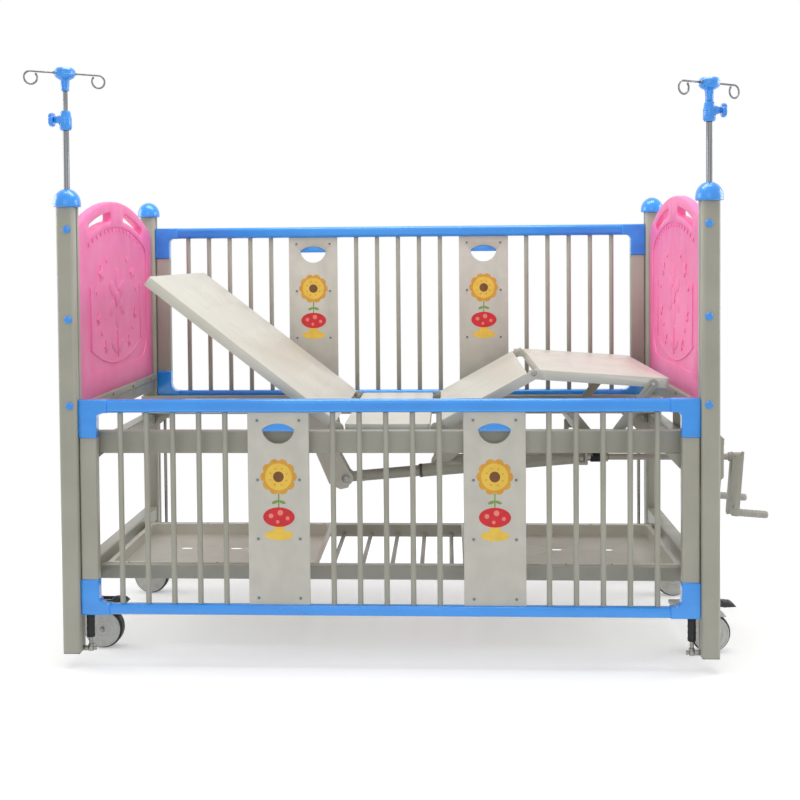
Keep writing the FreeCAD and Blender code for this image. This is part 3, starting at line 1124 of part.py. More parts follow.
# ---- infusion poles --------------------------------------------------------------------
def pole_outer():
    """The fixed outer tube of a pole, held in its post."""
    height = POLE_OUTER_TOP_Z - POLE_OUTER_BOTTOM_Z
    outer = rod(Vector(0, 0, POLE_OUTER_BOTTOM_Z), Z_AXIS, height, POLE_OUTER_RADIUS)
    return outer.cut(rod(Vector(0, 0, POLE_OUTER_BOTTOM_Z), Z_AXIS, height, POLE_BORE_RADIUS))


def pole_collar(end):
    """The clamp collar on top of an outer tube, with the boss that takes its knob."""
    low, high = COLLAR_BOTTOM_Z, COLLAR_TOP_Z
    profile = [(POLE_ROD_RADIUS + 0.3, POLE_OUTER_TOP_Z), (POLE_OUTER_RADIUS, POLE_OUTER_TOP_Z),
               (POLE_OUTER_RADIUS, low), (COLLAR_RADIUS - 3, low), (COLLAR_RADIUS, low + 5),
               (COLLAR_RADIUS, high - 18), (COLLAR_RADIUS - 3.5, high), (POLE_ROD_RADIUS + 0.3, high)]
    body = revolve(profile)
    start = Vector(end * (POLE_OUTER_RADIUS + 1), 0, KNOB_Z)
    length = KNOB_START - 1.5 - POLE_OUTER_RADIUS - 1
    boss = Part.makeCone(KNOB_BOSS_RADII[0], KNOB_BOSS_RADII[1], length, start, X_AXIS * end)
    bore = rod(start - X_AXIS * end, X_AXIS * end, length + 2, KNOB_STEM_RADIUS + RUNNING_CLEARANCE)
    return body.fuse(boss).cut(bore).removeSplitter()


def pole_knob(end):
    """A lobed clamp knob with its stem."""
    start = Vector(end * KNOB_START, 0, KNOB_Z)
    knob = rod(start, X_AXIS * end, KNOB_THICKNESS, KNOB_RADIUS)
    knob = knob.makeChamfer(2.0, [edge for edge in knob.Edges if edge.BoundBox.XLength < 0.01])
    for i in range(KNOB_LOBES):
        angle = 2 * math.pi * (i + 0.5) / KNOB_LOBES
        spot = start + Vector(0, math.cos(angle), math.sin(angle)) * (KNOB_RADIUS + 3)
        knob = knob.cut(rod(spot - X_AXIS * end, X_AXIS * end, KNOB_THICKNESS + 2, 6))
    stem_start = POLE_OUTER_RADIUS + 0.3
    stem = rod(Vector(end * stem_start, 0, KNOB_Z), X_AXIS * end, KNOB_START + 2 - stem_start,
               KNOB_STEM_RADIUS)
    return knob.fuse(stem)


def pole_head(base):
    """The moulded head of a pole: a cone on the rod under a round flange."""
    top = base + POLE_HEAD_HEIGHT
    flange = top - POLE_FLANGE_HEIGHT
    profile = [(POLE_ROD_RADIUS, base), (POLE_CONE_RADIUS - 2, base), (POLE_CONE_RADIUS, flange - 6),
               (POLE_FLANGE_RADIUS - 4, flange), (POLE_FLANGE_RADIUS, flange + 5),
               (POLE_FLANGE_RADIUS, top - 5), (POLE_FLANGE_RADIUS - 4, top), (0, top),
               (0, top - 12), (POLE_ROD_RADIUS, top - 12)]
    head = revolve(profile)
    for angle in (HOOK_YAW, HOOK_YAW + 180):
        socket = rod(Vector(POLE_FLANGE_RADIUS - HOOK_SOCKET, 0, hook_height(base)), X_AXIS,
                     2 * HOOK_SOCKET, HOOK_WIRE_RADIUS)
        head = head.cut(turned(socket, Vector(0, 0, 0), Z_AXIS, angle))
    return head


def hook_height(base):
    """The level of the hook arms in a pole head."""
    return base + POLE_HEAD_HEIGHT - POLE_FLANGE_HEIGHT / 2


def pole_hook(base):
    """One wire hook: a straight arm from the head and a round loop below it."""
    height = hook_height(base)
    bend = Vector(HOOK_ARM, 0, height - HOOK_LOOP_RADIUS)
    start = POLE_FLANGE_RADIUS - HOOK_SOCKET

    def on_loop(degrees):
        angle = math.radians(90 - degrees)
        return bend + Vector(math.cos(angle), 0, math.sin(angle)) * HOOK_LOOP_RADIUS

    line = Part.makeLine(Vector(start, 0, height), on_loop(0))
    half = HOOK_SWEEP / 2
    arcs = [Part.Arc(on_loop(0), on_loop(half / 2), on_loop(half)).toShape(),
            Part.Arc(on_loop(half), on_loop(1.5 * half), on_loop(HOOK_SWEEP)).toShape()]
    circle = Part.Wire(Part.makeCircle(HOOK_WIRE_RADIUS, Vector(start, 0, height), X_AXIS))
    hook = Part.Wire([line] + arcs).makePipeShell([circle], True, False)
    return turned(hook, Vector(0, 0, 0), Z_AXIS, HOOK_YAW)


def pole_rod(base):
    """The sliding rod of a pole with its two hooks."""
    length = base + POLE_HEAD_HEIGHT - 12 - ROD_BOTTOM_Z - (base - LOWERED_HEAD_Z)
    shaft = rod(Vector(0, 0, base + POLE_HEAD_HEIGHT - 12 - length), Z_AXIS, length, POLE_ROD_RADIUS)
    hook = pole_hook(base)
    return [shaft, hook, turned(hook, Vector(0, 0, 0), Z_AXIS, 180)]


# ---- the whole cot ---------------------------------------------------------------------
def main():
    """Build every node and write them all."""
    nodes = {}
    nodes["corner_posts"] = at_corners(corner_post())
    nodes["post_caps"] = post_caps()
    nodes["side_frame"] = side_frame()
    nodes["end_members"] = end_members()
    nodes["head_board"] = end_board(-1)
    nodes["foot_board"] = end_board(1)
    nodes["board_rails"] = board_rails()
    nodes["lower_frame"] = lower_frame()
    nodes["tray_pans"] = tray_pans()
    nodes["tray_rods"] = tray_rods()
    nodes["guide_rods"] = guide_rods()
    nodes["guide_brackets"] = guide_brackets()
    nodes["rail_buffers"] = rail_buffers()
    nodes["seat_section"] = seat_section()
    nodes["deck_hinges"] = deck_hinges()
    nodes["crank_housing"] = crank_housing()
    nodes["castor_stems"] = castor_stems()
    nodes["pole_outer_tubes"] = [moved(pole_outer(), end * HALF_X, -HALF_Y) for end in (-1, 1)]
    nodes["pole_collars"] = [moved(pole_collar(end), end * HALF_X, -HALF_Y) for end in (-1, 1)]

    nodes.update(side_rail("near", -1, RAIL_LOW_Z))
    nodes.update(side_rail("far", 1, RAIL_LOW_Z + RAIL_TRAVEL))

    nodes["backrest_section"] = backrest()
    nodes["thigh_section"] = thigh()
    nodes["calf_section"] = calf()
    nodes["calf_struts"] = calf_struts()

    drives = {"backrest": Drive(BACK_PIVOT, -1, BACK_SLEEVE_START, BACK_TUBE_END),
              "knee": Drive(THIGH_PIVOT, 1, KNEE_SLEEVE_START, KNEE_TUBE_END)}
    crossings = [cross_tube(x) for x in (-SEAT_CROSS_X, SEAT_CROSS_X, DRIVE_CROSS_X)]
    for name, drive in drives.items():
        nodes[name + "_push_tube"] = drive.push_tube()
        nodes[name + "_sleeve"] = drive.sleeve()
        nodes[name + "_screw"] = drive.screw()
        nodes[name + "_crank"] = drive.crank()
        nodes[name + "_crank_grip"] = drive.grip()
        crossings += drive.hanger()
    nodes["cross_tubes"] = crossings

    housing, wheel, pedal = castor_housing(), castor_wheel(), castor_pedal()
    for end, x in (("head", -HALF_X), ("foot", HALF_X)):
        for side, y in (("near", -CASTOR_Y), ("far", CASTOR_Y)):
            corner = "castor_%s_%s" % (end, side)
            nodes[corner + "_housing"] = moved(housing, x, y)
            nodes[corner + "_wheel"] = [moved(piece, x, y) for piece in wheel]
            nodes[corner + "_pedal"] = moved(pedal, x, y)

    for end, name, base in ((-1, "head", LOWERED_HEAD_Z + HEAD_POLE_RAISE), (1, "foot", LOWERED_HEAD_Z)):
        x = end * HALF_X
        nodes[name + "_pole_rod"] = [moved(piece, x, -HALF_Y) for piece in pole_rod(base)]
        nodes[name + "_pole_head"] = moved(pole_head(base), x, -HALF_Y)
        nodes[name + "_pole_knob"] = moved(pole_knob(end), x, -HALF_Y)
    write(nodes)


if __name__ == "__main__":
    main()
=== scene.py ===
"""Pediatric hospital cot, dressed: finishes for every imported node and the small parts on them.

Lengths in the classes are millimetres about the middle of the four posts, with the floor at
z = 0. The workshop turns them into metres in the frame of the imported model.
"""

import json
import logging
import math
from dataclasses import dataclass, field
from enum import Enum
from typing import Dict, Iterable, List, Optional, Sequence, Tuple, Union

import bmesh
import bpy
from mathutils import Matrix, Vector

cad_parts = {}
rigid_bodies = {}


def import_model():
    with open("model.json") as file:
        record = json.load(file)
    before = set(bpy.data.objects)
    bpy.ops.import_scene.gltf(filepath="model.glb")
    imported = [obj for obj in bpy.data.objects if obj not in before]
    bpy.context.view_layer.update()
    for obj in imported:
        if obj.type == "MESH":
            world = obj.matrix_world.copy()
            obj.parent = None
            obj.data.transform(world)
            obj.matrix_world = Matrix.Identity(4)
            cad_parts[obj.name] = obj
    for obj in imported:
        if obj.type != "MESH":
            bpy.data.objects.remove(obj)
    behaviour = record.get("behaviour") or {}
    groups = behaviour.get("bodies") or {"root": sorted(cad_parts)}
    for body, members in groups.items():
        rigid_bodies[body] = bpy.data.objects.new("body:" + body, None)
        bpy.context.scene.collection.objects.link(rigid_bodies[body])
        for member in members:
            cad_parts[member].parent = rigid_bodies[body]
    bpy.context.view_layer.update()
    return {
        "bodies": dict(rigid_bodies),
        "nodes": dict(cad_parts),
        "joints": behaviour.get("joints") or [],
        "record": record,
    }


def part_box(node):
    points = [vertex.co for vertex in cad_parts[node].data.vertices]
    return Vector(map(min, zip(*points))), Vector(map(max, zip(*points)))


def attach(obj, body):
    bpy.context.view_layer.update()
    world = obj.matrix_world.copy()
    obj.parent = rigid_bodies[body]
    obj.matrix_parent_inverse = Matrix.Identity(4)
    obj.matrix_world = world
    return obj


MM = 0.001
LOG = logging.getLogger("cot")
SIDES = (-1, 1)
CORNERS = [(end, side) for end in SIDES for side in SIDES]
UP = (0, 0, 1)
TO_FOOT = (1, 0, 0)
LEVEL = 1e-6                     # an edge whose ends differ less in height lies level
SHARP_ANGLE = 38.0               # degrees; a flatter edge is shaded smooth
UPRIGHT = 0.9                    # a direction with more than this upwards counts as upright
NOISE = "ShaderNodeTexNoise"
CELLS = "ShaderNodeTexVoronoi"
Spot = Tuple[float, float, float]
Pair = Tuple[float, float]
Socket = bpy.types.NodeSocket
Tree = bpy.types.NodeTree


# ---- colours and nodes -----------------------------------------------------------------
def linear(hex_code: str) -> Tuple[float, float, float, float]:
    """Turn an sRGB hex colour into the linear values that the shaders take.

    Args:
        hex_code: A colour such as "#2F86DB".

    Returns:
        Linear red, green, blue and an alpha of one.
    """
    channels = [int(hex_code[i:i + 2], 16) / 255 for i in (1, 3, 5)]
    red, green, blue = [c / 12.92 if c <= 0.04045 else ((c + 0.055) / 1.055) ** 2.4
                        for c in channels]
    return red, green, blue, 1.0


def add(tree: Tree, kind: str, inputs: Optional[dict] = None, **settings) -> bpy.types.Node:
    """Add one node with its settings, its input values and its links.

    Args:
        tree: The node tree.
        kind: The node's type name.
        inputs: Values or output sockets, by the name or the number of the input.
        settings: Properties of the node itself.

    Returns:
        The new node.
    """
    node = tree.nodes.new(kind)
    for key, value in settings.items():
        setattr(node, key, value)
    for key, value in (inputs or {}).items():
        if isinstance(value, bpy.types.NodeSocket):
            tree.links.new(value, node.inputs[key])
        else:
            node.inputs[key].default_value = value
    return node


# ---- finishes --------------------------------------------------------------------------
@dataclass(frozen=True)
class Finish:
    """One surface finish: what it is made of and how its surface was made.

    The clouds are the patterns of its colour, its wear and its relief. Each has its size in
    millimetres and its detail.
    """

    name: str
    colour: str
    shade: str
    roughness: float
    slot: str
    wander: float = 0.05
    depth: float = 0.05
    strength: float = 0.5
    turn: Pair = (0.35, 0.65)
    worn: Pair = (0.3, 0.7)
    clouds: Tuple[Pair, ...] = ()

    def build(self) -> bpy.types.Material:
        """Make the material with its pattern on Object coordinates.

        Returns:
            The finished material.
        """
        material = bpy.data.materials.new(self.name)
        material.use_nodes = True
        tree = material.node_tree
        tree.nodes.clear()
        place = add(tree, "ShaderNodeTexCoord").outputs["Object"]
        shader = add(tree, "ShaderNodeBsdfPrincipled", self.dress(tree, place))
        add(tree, "ShaderNodeOutputMaterial", {"Surface": shader.outputs[0]})
        return material

    def dress(self, tree: Tree, place: Socket) -> dict:
        """Make the finish's patterns, which are three plain clouds unless it says otherwise.

        Args:
            tree: The material's node tree.
            place: Object coordinates.

        Returns:
            What goes into the shader's inputs.
        """
        patterns = [add(tree, NOISE, {"Vector": place, "Scale": 1000 / size, "Detail": detail})
                    for size, detail in self.clouds]
        return {**self.cover(tree, *[pattern.outputs[0] for pattern in patterns]), "IOR": 1.5}

    def cover(self, tree: Tree, cloud: Socket, wear: Socket,
              height: Optional[Socket] = None) -> dict:
        """Drive the colour, the roughness and the bump by patterns from 0 to 1.

        Args:
            tree: The material's node tree.
            cloud: Turns the shade to the colour.
            wear: Lets the roughness wander about the finish's own value.
            height: Fine relief, whose depth is in millimetres.

        Returns:
            The shader's colour, roughness and normal.
        """
        turned = add(tree, "ShaderNodeMapRange",
                     {"Value": cloud, "From Min": self.turn[0], "From Max": self.turn[1]})
        tint = add(tree, "ShaderNodeMix", {0: turned.outputs[0], 6: linear(self.shade),
                                           7: linear(self.colour)}, data_type="RGBA")
        dull = add(tree, "ShaderNodeMapRange",
                   {"Value": wear, "From Min": self.worn[0], "From Max": self.worn[1],
                    "To Min": self.roughness - self.wander, "To Max": self.roughness + self.wander})
        inputs = {"Base Color": tint.outputs[2], "Roughness": dull.outputs[0]}
        if height is not None:
            bump = add(tree, "ShaderNodeBump", {"Height": height, "Distance": self.depth * MM,
                                                "Strength": self.strength})
            inputs["Normal"] = bump.outputs[0]
        return inputs


@dataclass(frozen=True)
class PowderCoat(Finish):
    """Baked powder coat on steel: even colour, a soft sheen and a fine orange peel.

    Handled areas a hand wide dull a little; the peel of about 1 mm is drawn as 2.4 mm to show.
    """

    strength: float = 0.55
    clouds: Tuple[Pair, ...] = ((140.0, 3.0), (60.0, 2.0), (2.4, 1.0))


@dataclass(frozen=True)
class GlossMoulding(Finish):
    """Injection-moulded ABS, glossy from a polished tool, with faint flow marks."""

    wander: float = 0.04
    depth: float = 0.04
    strength: float = 0.4

    def dress(self, tree: Tree, place: Socket) -> dict:
        """Flow marks run along the tubes for about 160 mm; sink ripple of 6 mm is very shallow.

        Args:
            tree: The material's node tree.
            place: Object coordinates.

        Returns:
            What goes into the shader's inputs.
        """
        along = add(tree, "ShaderNodeMapping", {"Vector": place, "Scale": (0.25, 1.0, 1.0)})
        cloud = add(tree, NOISE, {"Vector": along.outputs[0], "Scale": 1000 / 40, "Detail": 2.0})
        wear = add(tree, NOISE, {"Vector": place, "Scale": 1000 / 35, "Detail": 2.0})
        sink = add(tree, NOISE, {"Vector": place, "Scale": 1000 / 6, "Detail": 0.0})
        return {**self.cover(tree, cloud.outputs[0], wear.outputs[0], sink.outputs[0]), "IOR": 1.5,
                "Coat Weight": 1.0, "Coat Roughness": 0.2}


@dataclass(frozen=True)
class BlowMoulding(Finish):
    """Blow-moulded polyethylene: satin, slightly waxy, with a pebbled skin."""

    depth: float = 0.06
    strength: float = 0.35

    def dress(self, tree: Tree, place: Socket) -> dict:
        """The wall varies over a hand's width; pebbles of 1 mm are drawn as 1.8 mm to show.

        Args:
            tree: The material's node tree.
            place: Object coordinates.

        Returns:
            What goes into the shader's inputs.
        """
        cloud = add(tree, NOISE, {"Vector": place, "Scale": 1000 / 110, "Detail": 1.0})
        wear = add(tree, NOISE, {"Vector": place, "Scale": 1000 / 50, "Detail": 2.0})
        pebble = add(tree, CELLS, {"Vector": place, "Scale": 1000 / 1.8}, feature="SMOOTH_F1")
        return {**self.cover(tree, cloud.outputs[0], wear.outputs[0], pebble.outputs["Distance"]),
                "IOR": 1.5, "Subsurface Weight": 0.06, "Subsurface Radius": (0.004, 0.002, 0.002)}


@dataclass(frozen=True)
class PressedSheet(Finish):
    """High-pressure laminate sheet: flat, satin, with a faint cloudy print.

    Clouding is a few centimetres across; the press plate's texture of 0.5 mm is drawn as 1.5 mm.
    """

    wander: float = 0.04
    depth: float = 0.02
    clouds: Tuple[Pair, ...] = ((45.0, 3.0), (18.0, 2.0), (1.5, 0.0))


@dataclass(frozen=True)
class PolishedTube(Finish):
    """Drawn stainless tube, polished along its length, so its streaks run upright; their darker
    stripes are painted reflection.
    """

    def dress(self, tree: Tree, place: Socket) -> dict:
        """Polishing lines of 0.5 mm are drawn 3 mm apart and 150 mm long, so that they show. Their
        darker stripes are also painted reflection.

        Args:
            tree: The material's node tree.
            place: Object coordinates.

        Returns:
            What goes into the shader's inputs.
        """
        along = add(tree, "ShaderNodeMapping", {"Vector": place, "Scale": (1.0, 1.0, 0.02)})
        # Painted reflection: this pattern darkens the steel in upright stripes as well as marking
        # the polish.
        polish_streak_and_painted_reflection = add(tree, NOISE, {"Vector": along.outputs[0], "Scale": 1000 / 3, "Detail": 1.0})
        return {**self.cover(tree, polish_streak_and_painted_reflection.outputs[0], polish_streak_and_painted_reflection.outputs[0]), "Metallic": 1.0}


@dataclass(frozen=True)
class ZincPlate(Finish):
    """Bright zinc plating on steel: soft metal sheen with small cloudy grains."""

    wander: float = 0.08
    depth: float = 0.02
    strength: float = 0.4
    turn: Pair = (0.1, 0.7)

    def dress(self, tree: Tree, place: Socket) -> dict:
        """Grains of the plating are about 3 mm across.

        Args:
            tree: The material's node tree.
            place: Object coordinates.

        Returns:
            What goes into the shader's inputs.
        """
        grain = add(tree, CELLS, {"Vector": place, "Scale": 1000 / 3})
        wear = add(tree, NOISE, {"Vector": place, "Scale": 1000 / 8, "Detail": 2.0})
        skin = add(tree, NOISE, {"Vector": place, "Scale": 1000 / 1, "Detail": 1.0})
        return {**self.cover(tree, grain.outputs["Distance"], wear.outputs[0], skin.outputs[0]),
                "Metallic": 1.0}


@dataclass(frozen=True)
class MattMoulding(Finish):
    """Nylon, rubber or hard plastic from a spark-eroded tool: matt and finely grained.

    Scuffs are centimetres across; the tool's grit is under a millimetre, drawn as one.
    """

    wander: float = 0.07
    clouds: Tuple[Pair, ...] = ((16.0, 4.0), (9.0, 2.0), (1.0, 1.0))


@dataclass(frozen=True)
class ScreenPrint(Finish):
    """Screen-printed ink on laminate: flat colour with the faint mesh of the screen.

    The mesh of 0.1 mm is drawn as 0.8 mm so that it shows at all.
    """

    depth: float = 0.01
    strength: float = 0.4
    clouds: Tuple[Pair, ...] = ((22.0, 2.0), (12.0, 2.0), (0.8, 0.0))


class Stuff(Enum):
    """Every finish on the cot."""

    # Painted shade: the frame's colours are darker than its paint, set to the grey that its front
    # faces show in shade.
    FRAME = PowderCoat("frame steel, powder coated warm grey", "#A9A89B", "#A1A093", 0.36,
                       "frame_paint")
    DECK = PowderCoat("deck steel, powder coated cream", "#D2CFC3", "#CBC8BB", 0.42, "deck_paint")
    BLUE = GlossMoulding("rail fittings, moulded ABS, blue", "#1499FA", "#1190F0", 0.24,
                         "blue_plastic")
    PINK = BlowMoulding("end boards, blow-moulded polyethylene, pink", "#FF82BC", "#FD7AB5", 0.42,
                        "pink_plastic")
    # Partly painted shade: the off-white sheet is given a greyer colour, near the tone of the
    # panels that lie in shade.
    PANEL = PressedSheet("panels, laminate sheet, off-white", "#CAC8BD", "#C3C1B6", 0.34,
                         "panel_laminate")
    # Painted reflection: both steel colours are darker than the metal and stand in for the dark
    # things that the poles mirror.
    STAINLESS = PolishedTube("poles, polished stainless steel", "#919294", "#76787B", 0.22,
                             "stainless")
    ZINC = ZincPlate("small steel parts, zinc plated", "#A3A39D", "#84847F", 0.36, "plated_steel")
    PASSIVATED = ZincPlate("screws, blue-passivated zinc", "#7C888E", "#667178", 0.40,
                           "plated_steel")
    RUBBER = MattMoulding("buffers and seals, black rubber", "#1C1C1D", "#141415", 0.62,
                          "black_rubber")
    TYRE = MattMoulding("tyres, moulded polyurethane, black", "#202022", "#18181A", 0.55, "tyre",
                        clouds=((16.0, 4.0), (9.0, 2.0), (1.4, 1.0)))
    NYLON = MattMoulding("castor housings, moulded nylon, grey", "#CFCFCA", "#C5C5C0", 0.44,
                         "grey_nylon")
    GRIP = MattMoulding("crank grips, moulded nylon, warm grey", "#B2B1A8", "#A7A69D", 0.44,
                        "grey_nylon")
    DARK = MattMoulding("pedals, moulded nylon, charcoal", "#34373A", "#292C2E", 0.46,
                        "dark_plastic")
    INK_GOLD = ScreenPrint("screen print, gold", "#F0C94F", "#E8BF45", 0.38, "panel_laminate")
    INK_AMBER = ScreenPrint("screen print, amber", "#DDA436", "#D3992D", 0.38, "panel_laminate")
    INK_BROWN = ScreenPrint("screen print, brown", "#7A4A22", "#6E411D", 0.40, "panel_laminate")
    INK_RED = ScreenPrint("screen print, red", "#D8202C", "#CC1A26", 0.36, "panel_laminate")
    INK_ROSE = ScreenPrint("screen print, rose", "#F08A7C", "#E87F71", 0.38, "panel_laminate")
    INK_GREEN = ScreenPrint("screen print, green", "#7FA04A", "#759540", 0.38, "panel_laminate")


# ---- shaping ---------------------------------------------------------------------------
def aim(along: Vector) -> Matrix:
    """The turn that takes the upright axis to a direction.

    Args:
        along: Where the upright axis goes.

    Returns:
        A 4 by 4 rotation.
    """
    return Vector((0.0, 0.0, 1.0)).rotation_difference(along).to_matrix().to_4x4()


def soften(part: bmesh.types.BMesh, width: float, edges: List[bmesh.types.BMEdge]) -> None:
    """Bevel some edges of a part, where the bevel has any width.

    Args:
        part: The part.
        width: Width of the bevel, in millimetres.
        edges: The edges to bevel.
    """
    if width > 0:
        bmesh.ops.bevel(part, geom=edges, offset=width, segments=2, profile=0.5, affect="EDGES",
                        material=-1)


class Form:
    """A mesh that grows piece by piece, in millimetres until it is set down."""

    def __init__(self) -> None:
        """Start empty, with the first finish."""
        self.mesh = bmesh.new()
        self.ink = 0

    def join(self, part: bmesh.types.BMesh, matrix: Matrix) -> None:
        """Move a shaped part to its place and add it.

        Args:
            part: The part, which is used up.
            matrix: Its turn and place.
        """
        bmesh.ops.transform(part, matrix=matrix, verts=part.verts)
        bmesh.ops.recalc_face_normals(part, faces=part.faces)
        for face in part.faces:
            face.material_index = self.ink
        carrier = bpy.data.meshes.new("carrier")
        part.to_mesh(carrier)
        part.free()
        self.mesh.from_mesh(carrier)
        bpy.data.meshes.remove(carrier)

    def barrel(self, start: Spot, along: Spot, length: float, radius: float,
               tip: Optional[float] = None, bevel: float = 0.0, sides: int = 24) -> None:
        """A round or many-sided bar, disc or cone with bevelled rims.

        Args:
            start: Middle of its first end.
            along: Its direction.
            length: How far it reaches.
            radius: Radius at its first end.
            tip: Radius at its far end, where it differs.
            bevel: Width of the bevel on both rims.
            sides: Number of sides.
        """
        part = bmesh.new()
        bmesh.ops.create_cone(part, cap_ends=True, segments=sides, radius1=radius,
                              radius2=radius if tip is None else tip, depth=length)
        soften(part, bevel, [edge for edge in part.edges
                             if abs(edge.verts[0].co.z - edge.verts[1].co.z) < LEVEL])
        way = Vector(along).normalized()
        self.join(part, Matrix.Translation(Vector(start) + way * length / 2) @ aim(way))

    def block(self, centre: Spot, size: Spot, bevel: float = 0.0,
              turn: Optional[Matrix] = None) -> None:
        """A block with bevelled edges.

        Args:
            centre: Its middle.
            size: Its three lengths.
            bevel: Width of the bevel.
            turn: A rotation about its middle.
        """
        part = bmesh.new()
        bmesh.ops.create_cube(part, size=1.0)
        bmesh.ops.scale(part, vec=Vector(size), verts=part.verts)
        soften(part, bevel, part.edges[:])
        self.join(part, Matrix.Translation(Vector(centre)) @ (turn or Matrix.Identity(4)))

    def ball(self, centre: Spot, radii: Spot, turn: Optional[Matrix] = None,
             rounds: int = 16) -> None:
        """A ball or a flattened one.

        Args:
            centre: Its middle.
            radii: Its three half lengths.
            turn: A rotation about its middle.
            rounds: Number of segments round it.
        """
        part = bmesh.new()
        bmesh.ops.create_uvsphere(part, u_segments=rounds, v_segments=max(6, rounds // 2),
                                  radius=1.0)
        bmesh.ops.scale(part, vec=Vector(radii), verts=part.verts)
        self.join(part, Matrix.Translation(Vector(centre)) @ (turn or Matrix.Identity(4)))

    def ring(self, centre: Spot, along: Spot, radius: float, wire: float, start: float = 0.0,
             sweep: float = 360.0, steps: int = 40) -> None:
        """A round ring, or a stretch of one, spun from a small circle.

        Args:
            centre: Its middle.
            along: The axis it goes round.
            radius: Radius to the middle of the wire.
            wire: Radius of the wire.
            start: Where a stretch begins, in degrees; 90 is at the top.
            sweep: How far it goes, in degrees.
            steps: Segments along it.
        """
        part = bmesh.new()
        bmesh.ops.create_circle(part, segments=10, radius=wire, cap_ends=sweep < 360)
        bmesh.ops.rotate(part, cent=(0, 0, 0), matrix=Matrix.Rotation(math.pi / 2, 3, "X"),
                         verts=part.verts)
        bmesh.ops.translate(part, vec=Vector((radius, 0, 0)), verts=part.verts)
        bmesh.ops.rotate(part, cent=(0, 0, 0), matrix=Matrix.Rotation(math.radians(start), 3, "Z"),
                         verts=part.verts)
        bmesh.ops.spin(part, geom=part.verts[:] + part.edges[:] + part.faces[:], cent=(0, 0, 0),
                       axis=UP, angle=math.radians(sweep), steps=steps, use_merge=sweep >= 360,
                       use_duplicate=False)
        self.join(part, Matrix.Translation(Vector(centre)) @ facing(Vector(along)))

    def medal(self, centre: Spot, along: Spot, outer: float, height: float, points: int = 32,
              inner: Optional[float] = None, stretch: Pair = (1.0, 1.0), spin: float = 0.0,
              bevel: float = 0.0) -> None:
        """A flat raised shape: a disc, an oval, a polygon or a star.

        Args:
            centre: Middle of its back.
            along: The way its face looks.
            outer: Its radius.
            height: How far it stands up.
            points: Number of corners, or of a star's points.
            inner: Radius between a star's points.
            stretch: Scale across and up.
            spin: Turn about its own axis, in degrees.
            bevel: Width of the bevel round its face.
        """
        part = bmesh.new()
        count = points if inner is None else 2 * points
        bmesh.ops.create_circle(part, segments=count, radius=outer, cap_ends=True)
        if inner is not None:
            part.verts.ensure_lookup_table()
            notches = [vert for i, vert in enumerate(part.verts) if i % 2]
            bmesh.ops.scale(part, vec=Vector((inner / outer, inner / outer, 1.0)), verts=notches)
        grown = bmesh.ops.extrude_face_region(part, geom=part.faces[:])
        top = [item for item in grown["geom"] if isinstance(item, bmesh.types.BMVert)]
        bmesh.ops.translate(part, vec=Vector((0, 0, height)), verts=top)
        soften(part, bevel, [edge for edge in part.edges
                             if min(edge.verts[0].co.z, edge.verts[1].co.z) > height / 2])
        bmesh.ops.scale(part, vec=Vector((stretch[0], stretch[1], 1.0)), verts=part.verts)
        upright = Matrix.Rotation(math.radians(spin), 4, "Z")
        self.join(part, Matrix.Translation(Vector(centre)) @ facing(Vector(along)) @ upright)

    def screw(self, seat: Spot, along: Spot, radius: float) -> None:
        """A pan-head screw with a socket in its head.

        Args:
            seat: Where the head sits.
            along: The way the head looks.
            radius: Radius of the head.
        """
        half = radius * 0.3
        part = bmesh.new()
        bmesh.ops.create_cone(part, cap_ends=True, segments=18, radius1=radius,
                              radius2=radius * 0.86, depth=2 * half)
        top = [face for face in part.faces if face.normal.z > UPRIGHT]
        inset = bmesh.ops.inset_region(part, faces=top, thickness=radius * 0.45, depth=0.0)
        socket = [face for face in part.faces
                  if face.normal.z > UPRIGHT and face not in inset["faces"]]
        bmesh.ops.translate(part, vec=Vector((0, 0, -half)),
                            verts=list({vert for face in socket for vert in face.verts}))
        way = Vector(along).normalized()
        self.join(part, Matrix.Translation(Vector(seat) + way * half) @ aim(way))

    def bolt(self, seat: Spot, along: Spot, radius: float) -> None:
        """A hexagon head on its washer.

        Args:
            seat: Where the washer sits.
            along: The way the head looks.
            radius: Radius of the head across its corners.
        """
        washer = radius * 0.22
        self.barrel(seat, along, washer, radius * 1.3, bevel=radius * 0.06, sides=20)
        top = Vector(seat) + Vector(along).normalized() * washer
        self.barrel(tuple(top), along, radius * 0.7, radius, bevel=radius * 0.12, sides=6)

    def weld(self, start: Spot, stop: Spot, radius: float) -> None:
        """A bead of overlapping weld ripples along a seam.

        Args:
            start: One end of the seam.
            stop: Its other end.
            radius: Radius of the bead.
        """
        first, last = Vector(start), Vector(stop)
        count = max(2, int((last - first).length / (radius * 1.1)))
        turn = aim((last - first).normalized())
        for i in range(count + 1):
            spot = first.lerp(last, i / count)
            self.ball(tuple(spot), (radius, radius, radius * 0.8), turn, 8)


def facing(along: Vector) -> Matrix:
    """The turn that lays a flat shape on a wall with its own up still upwards.

    Args:
        along: A level direction that the wall faces, or straight up.

    Returns:
        A 4 by 4 rotation.
    """
    way = along.normalized()
    if abs(way.z) > UPRIGHT:
        return aim(way)
    across = Vector((0.0, 0.0, 1.0)).cross(way).normalized()
    return Matrix((across, way.cross(across), way)).transposed().to_4x4()


# ---- workshop --------------------------------------------------------------------------
@dataclass(frozen=True)
class Piece:
    """A shaped piece: its name, the body it rides on, its finish and its form in millimetres.

    A piece with inks has a finish for each. The last field is where the form's own frame lies.
    """

    name: str
    body: str
    stuff: Union[Stuff, Sequence[Stuff]]
    form: Form
    about: Matrix = field(default_factory=lambda: Matrix.Identity(4))


class Kit:
    """The small parts of one sub-assembly."""

    def pieces(self) -> List[Piece]:
        raise NotImplementedError


